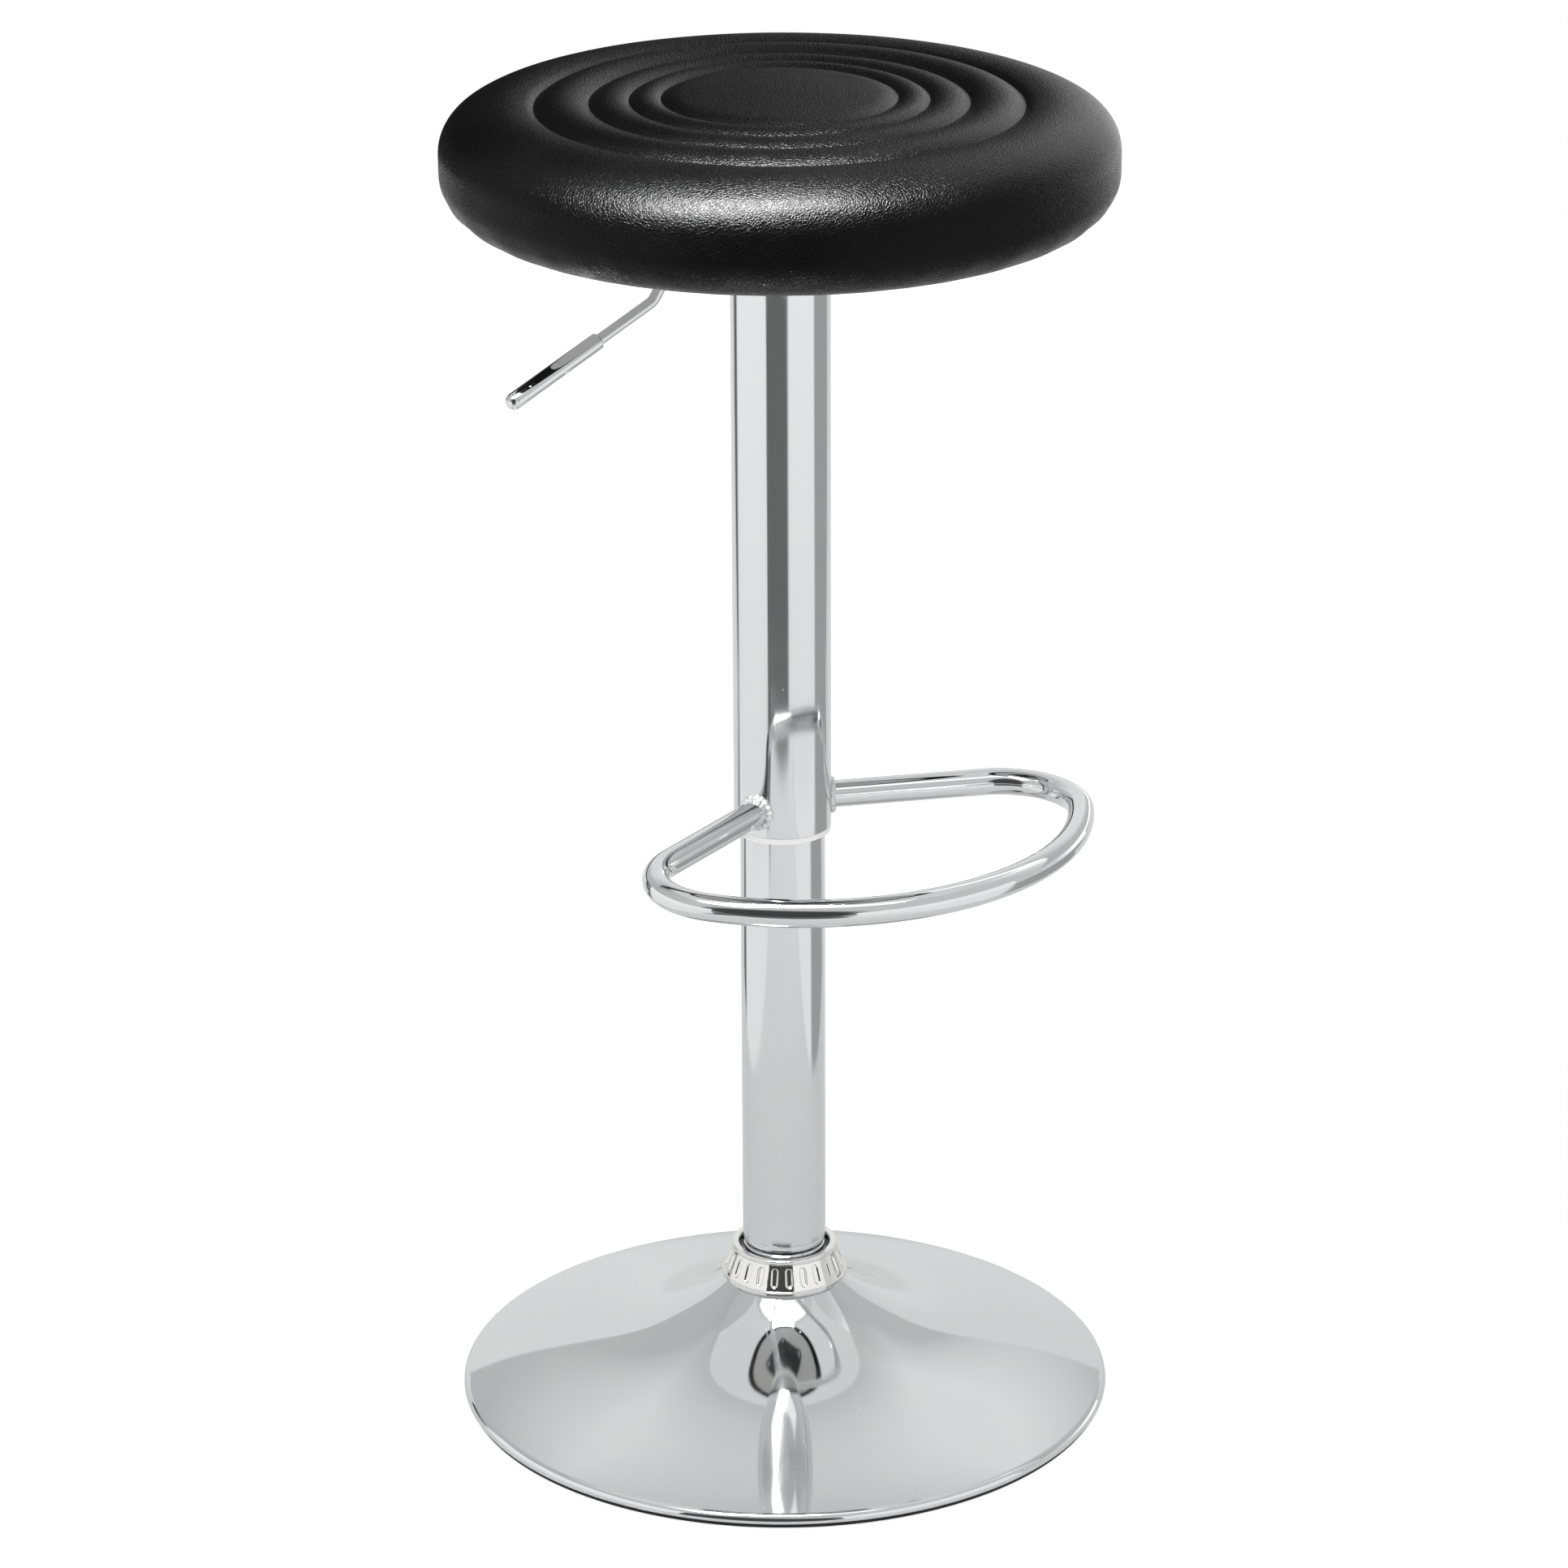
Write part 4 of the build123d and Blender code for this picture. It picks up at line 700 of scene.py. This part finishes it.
# The pad swells under its cover for a moment, held in the channels, over the middle and under the board. A
# coarser net of the same shape swells; its shifts are spread over the cover and evened between held rows.
MOST = 0.002
NET_GAP = 5.0
net_rows = []
for row in range(1, rows + 1):
    gap = (crown[row] - crown[net_rows[-1]]).length if net_rows else NET_GAP
    if row in held_rows and gap < NET_GAP / 2 and net_rows[-1] not in held_rows:
        net_rows.pop()
    if row in held_rows or gap >= NET_GAP:
        net_rows.append(row)
about = ROUND // 2
net_points = [points[1 + (row - 1) * ROUND + 2 * step] for row in net_rows for step in range(about)]
net_points = [points[0], *net_points, points[-1]]
net = new_piece("swelling_net", net_points, [], shell_faces(len(net_rows), about))
held = net.vertex_groups.new(name="held")
held.add([0, len(net_points) - 1], 1.0, "REPLACE")
for place, row in enumerate(net_rows):
    if row in held_rows:
        held.add(range(1 + place * about, 1 + (place + 1) * about), 1.0, "REPLACE")
swelling = net.modifiers.new("swelling", "CLOTH")
swelling.settings.vertex_group_mass = "held"
swelling.settings.mass = 0.002
swelling.settings.use_pressure = True
swelling.settings.uniform_pressure_force = 4.0
swelling.settings.effector_weights.gravity = 0.0
swelling.settings.bending_stiffness = 1.0
swelling.settings.tension_stiffness = 3.0
swelling.settings.compression_stiffness = 3.0
swelling.settings.shear_stiffness = 3.0
swelling.collision_settings.use_collision = False
for moment in range(1, 21):
    bpy.context.scene.frame_set(moment)
swollen = net.evaluated_get(bpy.context.evaluated_depsgraph_get()).data.vertices
net_shift = np.array([point.co - was for point, was in zip(swollen, net_points)])[1:-1]
net_shift = net_shift.reshape(len(net_rows), about, 3)
bpy.data.objects.remove(net)
bpy.context.scene.frame_set(1)

runs = np.cumsum([0.0] + [(after - before).length for before, after in zip(crown[1:-2], crown[2:-1])])
net_runs = runs[np.array(net_rows) - 1]
shift = np.zeros((rows, ROUND, 3))
for step in range(about):
    for axis in range(3):
        shift[:, 2 * step, axis] = np.interp(runs, net_runs, net_shift[:, step, axis])
shift[:, 1::2] = (shift[:, 0::2] + np.roll(shift[:, 0::2], -1, axis=1)) / 2
free = [row - 1 for row in range(1, rows + 1) if row not in held_rows]
for _ in range(12):
    beside = sum(np.roll(shift, way, axis) for way in (-1, 1) for axis in (0, 1))
    shift[free] = ((beside + 2 * shift) / 6)[free]
shift *= np.minimum(1.0, MOST / np.maximum(np.linalg.norm(shift, axis=2, keepdims=True), 1e-9))
for point, step in zip(list(seat_cushion.data.vertices)[1:-1], shift.reshape(-1, 3)):
    point.co += Vector(step)
smooth = seat_cushion.modifiers.new("smooth", "SUBSURF")
smooth.levels = smooth.render_levels = 1
seat_cushion.data.shade_smooth()

# Faux leather: vinyl on a knit backing, embossed with a fine pebble and rolled to a satin gloss. The pebbles
# are about 1 mm and are drawn at 1.7 mm so that they show; they break the highlights into a grain.
faux_leather, tree, where = new_finish("embossed_black_faux_leather")
drift = add(tree, "ShaderNodeTexNoise", {
    "Vector": where, "Scale": 1 / 0.004, "Detail": 2.0}).outputs["Color"]
bent = add(tree, "ShaderNodeMix", {
    0: 0.0009, 4: where, 5: drift}, data_type="VECTOR", factor_mode="UNIFORM").outputs[1]
pebble = add(tree, "ShaderNodeTexVoronoi", {
    "Vector": bent, "Scale": 1 / 0.0017}, feature="DISTANCE_TO_EDGE").outputs["Distance"]
raised = add(tree, "ShaderNodeMapRange", {
    "Value": pebble, "From Min": 0.0, "From Max": 0.28}, interpolation_type="SMOOTHSTEP").outputs[0]
handled = add(tree, "ShaderNodeTexNoise", {
    "Vector": where, "Scale": 1 / 0.05, "Detail": 4.0}).outputs["Fac"]
pull = add(tree, "ShaderNodeTexNoise", {"Vector": where, "Scale": 1 / 0.009, "Detail": 3.0}).outputs["Fac"]
tone = add(tree, "ShaderNodeMix", {
    0: handled, 6: linear("#030303"), 7: linear("#050505")}, data_type="RGBA").outputs[2]
gloss = add(tree, "ShaderNodeMapRange", {
    "Value": handled, "From Min": 0.3, "From Max": 0.7, "To Min": 0.22, "To Max": 0.28}).outputs[0]
valley = add(tree, "ShaderNodeMapRange", {"Value": raised, "To Min": 0.08, "To Max": 0.0}).outputs[0]
rough = add(tree, "ShaderNodeMath", {0: gloss, 1: valley}, operation="ADD").outputs[0]
creases = add(tree, "ShaderNodeBump", {"Height": pull, "Strength": 0.05, "Distance": 0.0006}).outputs[0]
grain = add(tree, "ShaderNodeBump", {
    "Height": raised, "Strength": 0.6, "Distance": 0.0002, "Normal": creases}).outputs[0]
shader = add(tree, "ShaderNodeBsdfPrincipled", {
    "Base Color": tone, "Roughness": rough, "Normal": grain, "Specular IOR Level": 0.1}).outputs[0]
add(tree, "ShaderNodeOutputMaterial", {"Surface": shader})
seat_cushion.data.materials.append(faux_leather)
settle(seat_cushion, "seat", "black_faux_leather", "seat_cover", "seat_foam")


# Dust cloth: a disc of pale grey non-woven cloth that closes the underside, stapled over the cover's hem.
# It lies flat on the board and steps down over the hem at its edge.
# Spunbond cloth: dull pale felted fibre, pressed with a grid of tiny dots 1.2 mm apart.
spunbond, tree, where = new_finish("pale_spunbond_cloth")
dots = add(tree, "ShaderNodeTexVoronoi", {
    "Vector": where, "Scale": 1 / 0.0012, "Randomness": 0.15}).outputs["Distance"]
fluff = add(tree, "ShaderNodeTexNoise", {"Vector": where, "Scale": 1 / 0.005, "Detail": 8.0}).outputs["Fac"]
tone = add(tree, "ShaderNodeMix", {
    0: fluff, 6: linear("#b9b9b7"), 7: linear("#cfcfcd")}, data_type="RGBA").outputs[2]
press = add(tree, "ShaderNodeBump", {"Height": dots, "Strength": 0.6, "Distance": 0.0003}).outputs[0]
shader = add(tree, "ShaderNodeBsdfPrincipled", {
    "Base Color": tone, "Roughness": 0.9, "Normal": press, "Sheen Weight": 0.15}).outputs[0]
add(tree, "ShaderNodeOutputMaterial", {"Surface": shader})
dust_cloth = turned("dust_cloth", [
    (0.0, 731.6, 0.0), (148.8, 731.6, 0.4), (149.4, 730.4, 0.3), (160.0, 730.4, 0.2), (160.0, 731.0, 0.2),
    (150.0, 731.0, 0.3), (149.4, 732.2, 0.3), (0.0, 732.2, 0.0),
], spunbond, spacing=4.0)
settle(dust_cloth, "seat", "pale_cloth", "dust_cover")


# Staples: forty zinc-plated wire staples driven through the cloth and the cover's hem into the board.
# They are shot by hand, so they sit a little unevenly round the ring.
STAPLES = {"Count": 40, "Circle": 0.155, "Unevenness": 0.0012, "Skew": 0.09}
stapling, size = new_tree("staple_ring", STAPLES)
ring = add(stapling, "GeometryNodeMeshCircle", {
    "Vertices": size["Count"], "Radius": size["Circle"]}).outputs[0]
place = add(stapling, "GeometryNodeInputPosition").outputs[0]
outward = add(stapling, "ShaderNodeVectorMath", {0: place}, operation="NORMALIZE").outputs[0]
least = add(stapling, "ShaderNodeMath", {0: size["Unevenness"], 1: -1.0}, operation="MULTIPLY").outputs[0]
wander = add(stapling, "FunctionNodeRandomValue", {2: least, 3: size["Unevenness"], "Seed": 4}).outputs[1]
moved = add(stapling, "ShaderNodeVectorMath", {0: outward, "Scale": wander}, operation="SCALE").outputs[0]
spread = add(stapling, "GeometryNodeSetPosition", {"Geometry": ring, "Offset": moved}).outputs[0]
number = add(stapling, "GeometryNodeInputIndex").outputs[0]
pitch = add(stapling, "ShaderNodeMath", {0: math.tau, 1: size["Count"]}, operation="DIVIDE").outputs[0]
back = add(stapling, "ShaderNodeMath", {0: size["Skew"], 1: -1.0}, operation="MULTIPLY").outputs[0]
skew = add(stapling, "FunctionNodeRandomValue", {2: back, 3: size["Skew"], "Seed": 9}).outputs[1]
turn = add(stapling, "ShaderNodeMath", {0: number, 1: pitch, 2: skew}, operation="MULTIPLY_ADD").outputs[0]
upright = add(stapling, "ShaderNodeCombineXYZ", {2: turn}).outputs[0]
facing = add(stapling, "FunctionNodeEulerToRotation", {0: upright}).outputs[0]
copies = add(stapling, "GeometryNodeInstanceOnPoints", {
    "Points": spread, "Instance": size["Geometry"], "Rotation": facing}).outputs[0]
hand_over(stapling, copies, size["Finish"])
wire = [(-5.0, 736.8), (-5.0, 730.2), (-4.6, 729.8), (4.6, 729.8), (5.0, 730.2), (5.0, 736.8),
        (4.4, 736.8), (4.4, 730.6), (4.2, 730.4), (-4.2, 730.4), (-4.4, 730.6), (-4.4, 736.8)]
count = len(wire)
wire_staples = new_piece(
    "wire_staples", [(x / 1000, y / 1000, z / 1000) for x in (-0.6, 0.6) for y, z in wire], [],
    [tuple(range(count)), tuple(range(2 * count - 1, count - 1, -1))]
    + [(step, count + step, count + (step + 1) % count, (step + 1) % count) for step in range(count)])
grow(wire_staples, stapling, zinc_plate, STAPLES)
settle(wire_staples, "seat", "zinc_steel", "staples")


# Seat bolts: four zinc-plated hexagon bolts, each on a plain washer, up through the plate into tee nuts.
# Their heads are chamfered where the hexagon was turned.
BOLTS = {"Spacing": 0.12}
bolting, size = new_tree("four_bolts", BOLTS)
grid = add(bolting, "GeometryNodeMeshGrid", {
    "Size X": size["Spacing"], "Size Y": size["Spacing"], "Vertices X": 2, "Vertices Y": 2}).outputs[0]
turn = add(bolting, "FunctionNodeRandomValue", {2: 0.0, 3: math.tau, "Seed": 2}).outputs[1]
upright = add(bolting, "ShaderNodeCombineXYZ", {2: turn}).outputs[0]
facing = add(bolting, "FunctionNodeEulerToRotation", {0: upright}).outputs[0]
copies = add(bolting, "GeometryNodeInstanceOnPoints", {
    "Points": grid, "Instance": size["Geometry"], "Rotation": facing}).outputs[0]
hand_over(bolting, copies, size["Finish"])
hexagon = [(math.cos(math.tau * step / 6), math.sin(math.tau * step / 6)) for step in range(6)]
levels = [(5.0, 723.0), (5.77, 723.5), (5.77, 727.0), (3.0, 727.0), (3.0, 744.4), (2.5, 745.0)]
bolt_points = [
    (x * reach / 1000, y * reach / 1000, height / 1000) for reach, height in levels for x, y in hexagon]
bolt_faces = [tuple(range(5, -1, -1)), tuple(range(30, 36))]
bolt_faces += [(below + step, below + (step + 1) % 6, below + 6 + (step + 1) % 6, below + 6 + step)
               for below in range(0, 30, 6) for step in range(6)]
hex_bolts = new_piece("hex_bolts", bolt_points, [], bolt_faces)
grow(hex_bolts, bolting, zinc_plate, BOLTS)
settle(hex_bolts, "seat", "zinc_steel", "seat_bolts")
plain_washers = turned("plain_washers", [
    (3.3, 727.0, 0.1), (8.0, 727.0, 0.3), (8.0, 728.6, 0.3), (3.3, 728.6, 0.1)], zinc_plate, steps=48)
grow(plain_washers, bolting, zinc_plate, BOLTS)
settle(plain_washers, "seat", "zinc_steel", "bolt_washers")


# Paper: the stool stands on a sweep of matt white paper. To the lens and to the chrome it is bright white,
# and it keeps the stool's soft shadow. Its back is clear, so that the stool can be seen from every side.
VIEW = math.radians(-34.7)


def studio(x, y, z):
    """A place in the studio: to the right of the stool, behind it and above the floor, for the lens."""
    return Matrix.Rotation(VIEW, 4, "Z") @ Vector((x, y, z))


white_paper, tree, where = new_finish("white_paper")
ray = add(tree, "ShaderNodeLightPath").outputs
outer_side = add(tree, "ShaderNodeNewGeometry").outputs["Backfacing"]
mirrored = add(tree, "ShaderNodeMath", {
    0: ray["Is Glossy Ray"], 1: ray["Is Transmission Ray"]}, operation="MAXIMUM").outputs[0]
for_lens = add(tree, "ShaderNodeMath", {0: ray["Is Camera Ray"], 1: 0.6}, operation="MULTIPLY").outputs[0]
behind = add(tree, "ShaderNodeVectorMath", {
    0: where, 1: studio(0, 1, 0)}, operation="DOT_PRODUCT").outputs["Value"]
backlit = add(tree, "ShaderNodeMapRange", {
    "Value": behind, "From Min": 0.2, "From Max": 0.9, "To Min": 0.02, "To Max": 0.16}).outputs[0]
shown = add(tree, "ShaderNodeMath", {
    0: mirrored, 1: backlit, 2: for_lens}, operation="MULTIPLY_ADD").outputs[0]
matt = add(tree, "ShaderNodeBsdfDiffuse", {"Color": linear("#f2f2f2")}).outputs[0]
white = add(tree, "ShaderNodeEmission", {"Strength": shown}).outputs[0]
front_side = add(tree, "ShaderNodeAddShader", {0: matt, 1: white}).outputs[0]
clear = add(tree, "ShaderNodeBsdfTransparent").outputs[0]
sheet = add(tree, "ShaderNodeMixShader", {0: outer_side, 1: front_side, 2: clear}).outputs[0]
add(tree, "ShaderNodeOutputMaterial", {"Surface": sheet})

SWEEP = 0.3
run = [(0.5, -1.1, -0.0002), (0.5, 0.45, -0.0002), (1.1, 0.7, -0.0002)]
for angle in range(6, 91, 6):
    turn = math.radians(angle)
    run.append((1.1, 0.7 + SWEEP * math.sin(turn), 0.2998 - SWEEP * math.cos(turn)))
run.append((1.1, 1.0, 0.45))
paper = new_piece(
    "paper_sweep", [studio(side * half, y, z) for half, y, z in run for side in (-1, 1)], [],
    [(2 * step, 2 * step + 1, 2 * step + 3, 2 * step + 2) for step in range(len(run) - 1)])
paper.data.shade_smooth()
paper.data.materials.append(white_paper)


# Studio floor: grey boards round the paper, lit from beside and behind the stool, and dark towards the lens.
# They only show as soft bands in the chrome.
def all_round(tree, outlook, turn, tones):
    """Brightness all round the stool, from pairs of degrees to the right of the lens and brightness."""
    facing = add(tree, "ShaderNodeVectorRotate", {
        "Vector": outlook, "Angle": turn}, rotation_type="Z_AXIS").outputs[0]
    bearing = add(tree, "ShaderNodeTexGradient", {"Vector": facing}, gradient_type="RADIAL").outputs["Fac"]
    ramp = add(tree, "ShaderNodeValToRGB", {"Fac": bearing})
    marks = ramp.color_ramp.elements
    marks[0].color = (*[tones[0][1]] * 3, 1)
    marks[1].color = (*[tones[-1][1]] * 3, 1)
    for degrees, grey in tones[1:-1]:
        marks.new(degrees / 360 + 0.5).color = (grey, grey, grey, 1)
    return ramp.outputs["Color"]


studio_boards, tree, where = new_finish("grey_studio_boards")
spill = all_round(tree, where, math.pi / 2, (
    (-180, 0.9), (-140, 0.9), (-131, 0.15), (-122, 0.15), (-116, 1.0), (-38, 1.0), (-33, 0.17),
    (13, 0.17), (18, 1.0), (78, 1.0), (84, 0.42), (130, 0.42), (138, 0.9), (180, 0.9)))
boards = add(tree, "ShaderNodeEmission", {"Color": spill, "Strength": 1.0})
add(tree, "ShaderNodeOutputMaterial", {"Surface": boards.outputs[0]})
ground = new_piece(
    "studio_ground", [(-2.8, -2.8, -0.004), (2.8, -2.8, -0.004), (2.8, 2.8, -0.004), (-2.8, 2.8, -0.004)],
    [], [(0, 1, 2, 3)])
ground.rotation_euler.z = VIEW
ground.data.materials.append(studio_boards)
ground.visible_camera = False


# Lamps: a softbox low over the front of the seat, which only shows as sheen, and a large soft fill from the
# lens's side, which only lights matt surfaces.
def lamp(name, place, aim, width, height, brightness, mirrored):
    """A soft rectangular lamp of a given brightness, where 1 looks white, for sheen or for matt surfaces."""
    light = bpy.data.lights.new(name, "AREA")
    light.shape = "RECTANGLE"
    light.size = width
    light.size_y = height
    light.energy = brightness * math.pi * width * height
    holder = bpy.data.objects.new(name, light)
    holder.location = studio(*place)
    holder.rotation_euler = (studio(*aim) - holder.location).to_track_quat("-Z", "Y").to_euler()
    holder.visible_camera = False
    holder.visible_glossy = mirrored
    holder.visible_diffuse = not mirrored
    bpy.context.scene.collection.objects.link(holder)


lamp("front_softbox", (-0.19, -0.4, 1.2), (-0.19, -0.4, 0.0), 0.7, 0.25, 145.0, mirrored=True)
lamp("front_fill", (-0.2, -2.2, 1.3), (0.0, 0.0, 0.4), 1.0, 1.0, 4.6, mirrored=False)


# Lit cloths: white cloth stretched on frames and lit from outside, one high over the stool, one low behind
# it, one round the softbox and one on either side. The chrome mirrors their inner sides as soft greys.
# Each is given as its edges from end to end, and an edge as its points (x, y, z) with the brightness there.
ACROSS = (-2.2, -0.62, -0.36, 0.45, 0.75, 2.2)
LOW_GLOWS = (
    (0.25, (0.55, 0.56, 0.64, 0.66, 0.57, 0.55)),
    (0.6, (0.58, 0.6, 0.88, 0.93, 0.62, 0.58)),
    (2.6, (0.6, 0.62, 0.88, 1.0, 0.64, 0.6)))
SIDE_GLOWS = ((0.0, 0.95), (0.6, 1.15))
CLOTHS = {
    "high_cloth": [[(x, y, 3.0, 0.82) for x in (-2.0, 2.0)] for y in (-0.6, 1.8)],
    "low_cloth": [[(x, y, 0.785, glow) for x, glow in zip(ACROSS, glows)] for y, glows in LOW_GLOWS],
    "front_cloth": [[(x, y, 1.22, 1.5) for x in (-0.62, 0.5)] for y in (-0.56, -0.3)],
    "left_cloth": [[(-1.08, 0.53, z, glow), (-0.65, -1.0, z, glow)] for z, glow in SIDE_GLOWS],
    "right_cloth": [[(0.37, -1.14, z, glow), (1.185, -0.19, z, glow)] for z, glow in SIDE_GLOWS]}
lit_cloth, tree, where = new_finish("lit_white_cloth")
outer_side = add(tree, "ShaderNodeNewGeometry").outputs["Backfacing"]
brightness = add(tree, "ShaderNodeAttribute", attribute_name="brightness").outputs["Fac"]
glow = add(tree, "ShaderNodeEmission", {"Strength": brightness}).outputs[0]
clear = add(tree, "ShaderNodeBsdfTransparent").outputs[0]
cloth = add(tree, "ShaderNodeMixShader", {0: outer_side, 1: glow, 2: clear}).outputs[0]
add(tree, "ShaderNodeOutputMaterial", {"Surface": cloth})
for name, edges in CLOTHS.items():
    across = len(edges[0])
    spots = [spot for edge in edges for spot in edge]
    panel = new_piece(name, [studio(x, y, z) for x, y, z, _ in spots], [], [
        (corner, corner + across, corner + across + 1, corner + 1)
        for corner in range(len(spots) - across) if corner % across < across - 1])
    shine = panel.data.attributes.new("brightness", "FLOAT", "POINT")
    shine.data.foreach_set("value", [glow for *_, glow in spots])
    panel.data.materials.append(lit_cloth)
    panel.visible_camera = False
    panel.visible_diffuse = name != "front_cloth"


# Room: pale walls and ceiling all round, brightest behind on the right, with a dark opening where the lens
# stands. To the lens itself it is plain white.
world = bpy.data.worlds.new("pale_room")
bpy.context.scene.world = world
world.use_nodes = True
tree = world.node_tree
tree.nodes.clear()
lens_ray = add(tree, "ShaderNodeLightPath").outputs["Is Camera Ray"]
outlook = add(tree, "ShaderNodeTexCoord").outputs["Generated"]
opening = (Matrix.Rotation(VIEW, 3, "Z") @ Vector((-0.17, -0.96, 0.21))).normalized()
towards = add(tree, "ShaderNodeVectorMath", {
    0: outlook, 1: opening}, operation="DOT_PRODUCT").outputs["Value"]
edge, inside = math.cos(math.radians(36)), math.cos(math.radians(24))
dimmed = add(tree, "ShaderNodeMapRange", {
    "Value": towards, "From Min": edge, "From Max": inside, "To Min": 2.0, "To Max": 0.2},
    interpolation_type="SMOOTHSTEP").outputs[0]
walls = all_round(tree, outlook, math.pi / 2 - VIEW, (
    (-180, 0.06), (-174, 0.015), (-138, 0.02), (-120, 0.3), (-45, 0.35), (20, 0.35), (95, 0.35),
    (112, 0.42), (140, 0.9), (160, 0.9), (168, 0.75), (174, 0.24), (180, 0.06)))
wall_light = add(tree, "ShaderNodeMath", {0: walls, 1: dimmed}, operation="MULTIPLY").outputs[0]
seen = add(tree, "ShaderNodeMix", {0: lens_ray, 2: wall_light, 3: 1.0}, data_type="FLOAT").outputs[0]
room = add(tree, "ShaderNodeBackground", {"Color": (1, 1, 1, 1), "Strength": seen})
add(tree, "ShaderNodeOutputWorld", {"Surface": room.outputs[0]})
bpy.context.scene.view_settings.view_transform = "Standard"


# Lens: a long lens above the seat's height, tipped down at the stool from the front on the lever's side.
# It is turned and rolled by a hair, as it would be when held on a stand.
LENS_PLACE = (-1.7917, -2.5876, 1.5923)
LENS_TILT = 20.962
LENS_ROLL = -0.23
LENS_PAN = 2 / 7093.6
lens = bpy.data.cameras.new("lens")
lens.lens = 132.18
lens.sensor_width = 36.0
camera = bpy.data.objects.new("lens", lens)
bpy.context.scene.collection.objects.link(camera)
tilt = Matrix.Rotation(math.radians(90 - LENS_TILT), 4, "X")
roll = Matrix.Rotation(math.radians(LENS_ROLL), 4, "Z")
pan = Matrix.Rotation(VIEW - LENS_PAN, 4, "Z")
camera.matrix_world = Matrix.Translation(LENS_PLACE) @ pan @ tilt @ roll
bpy.context.scene.camera = camera
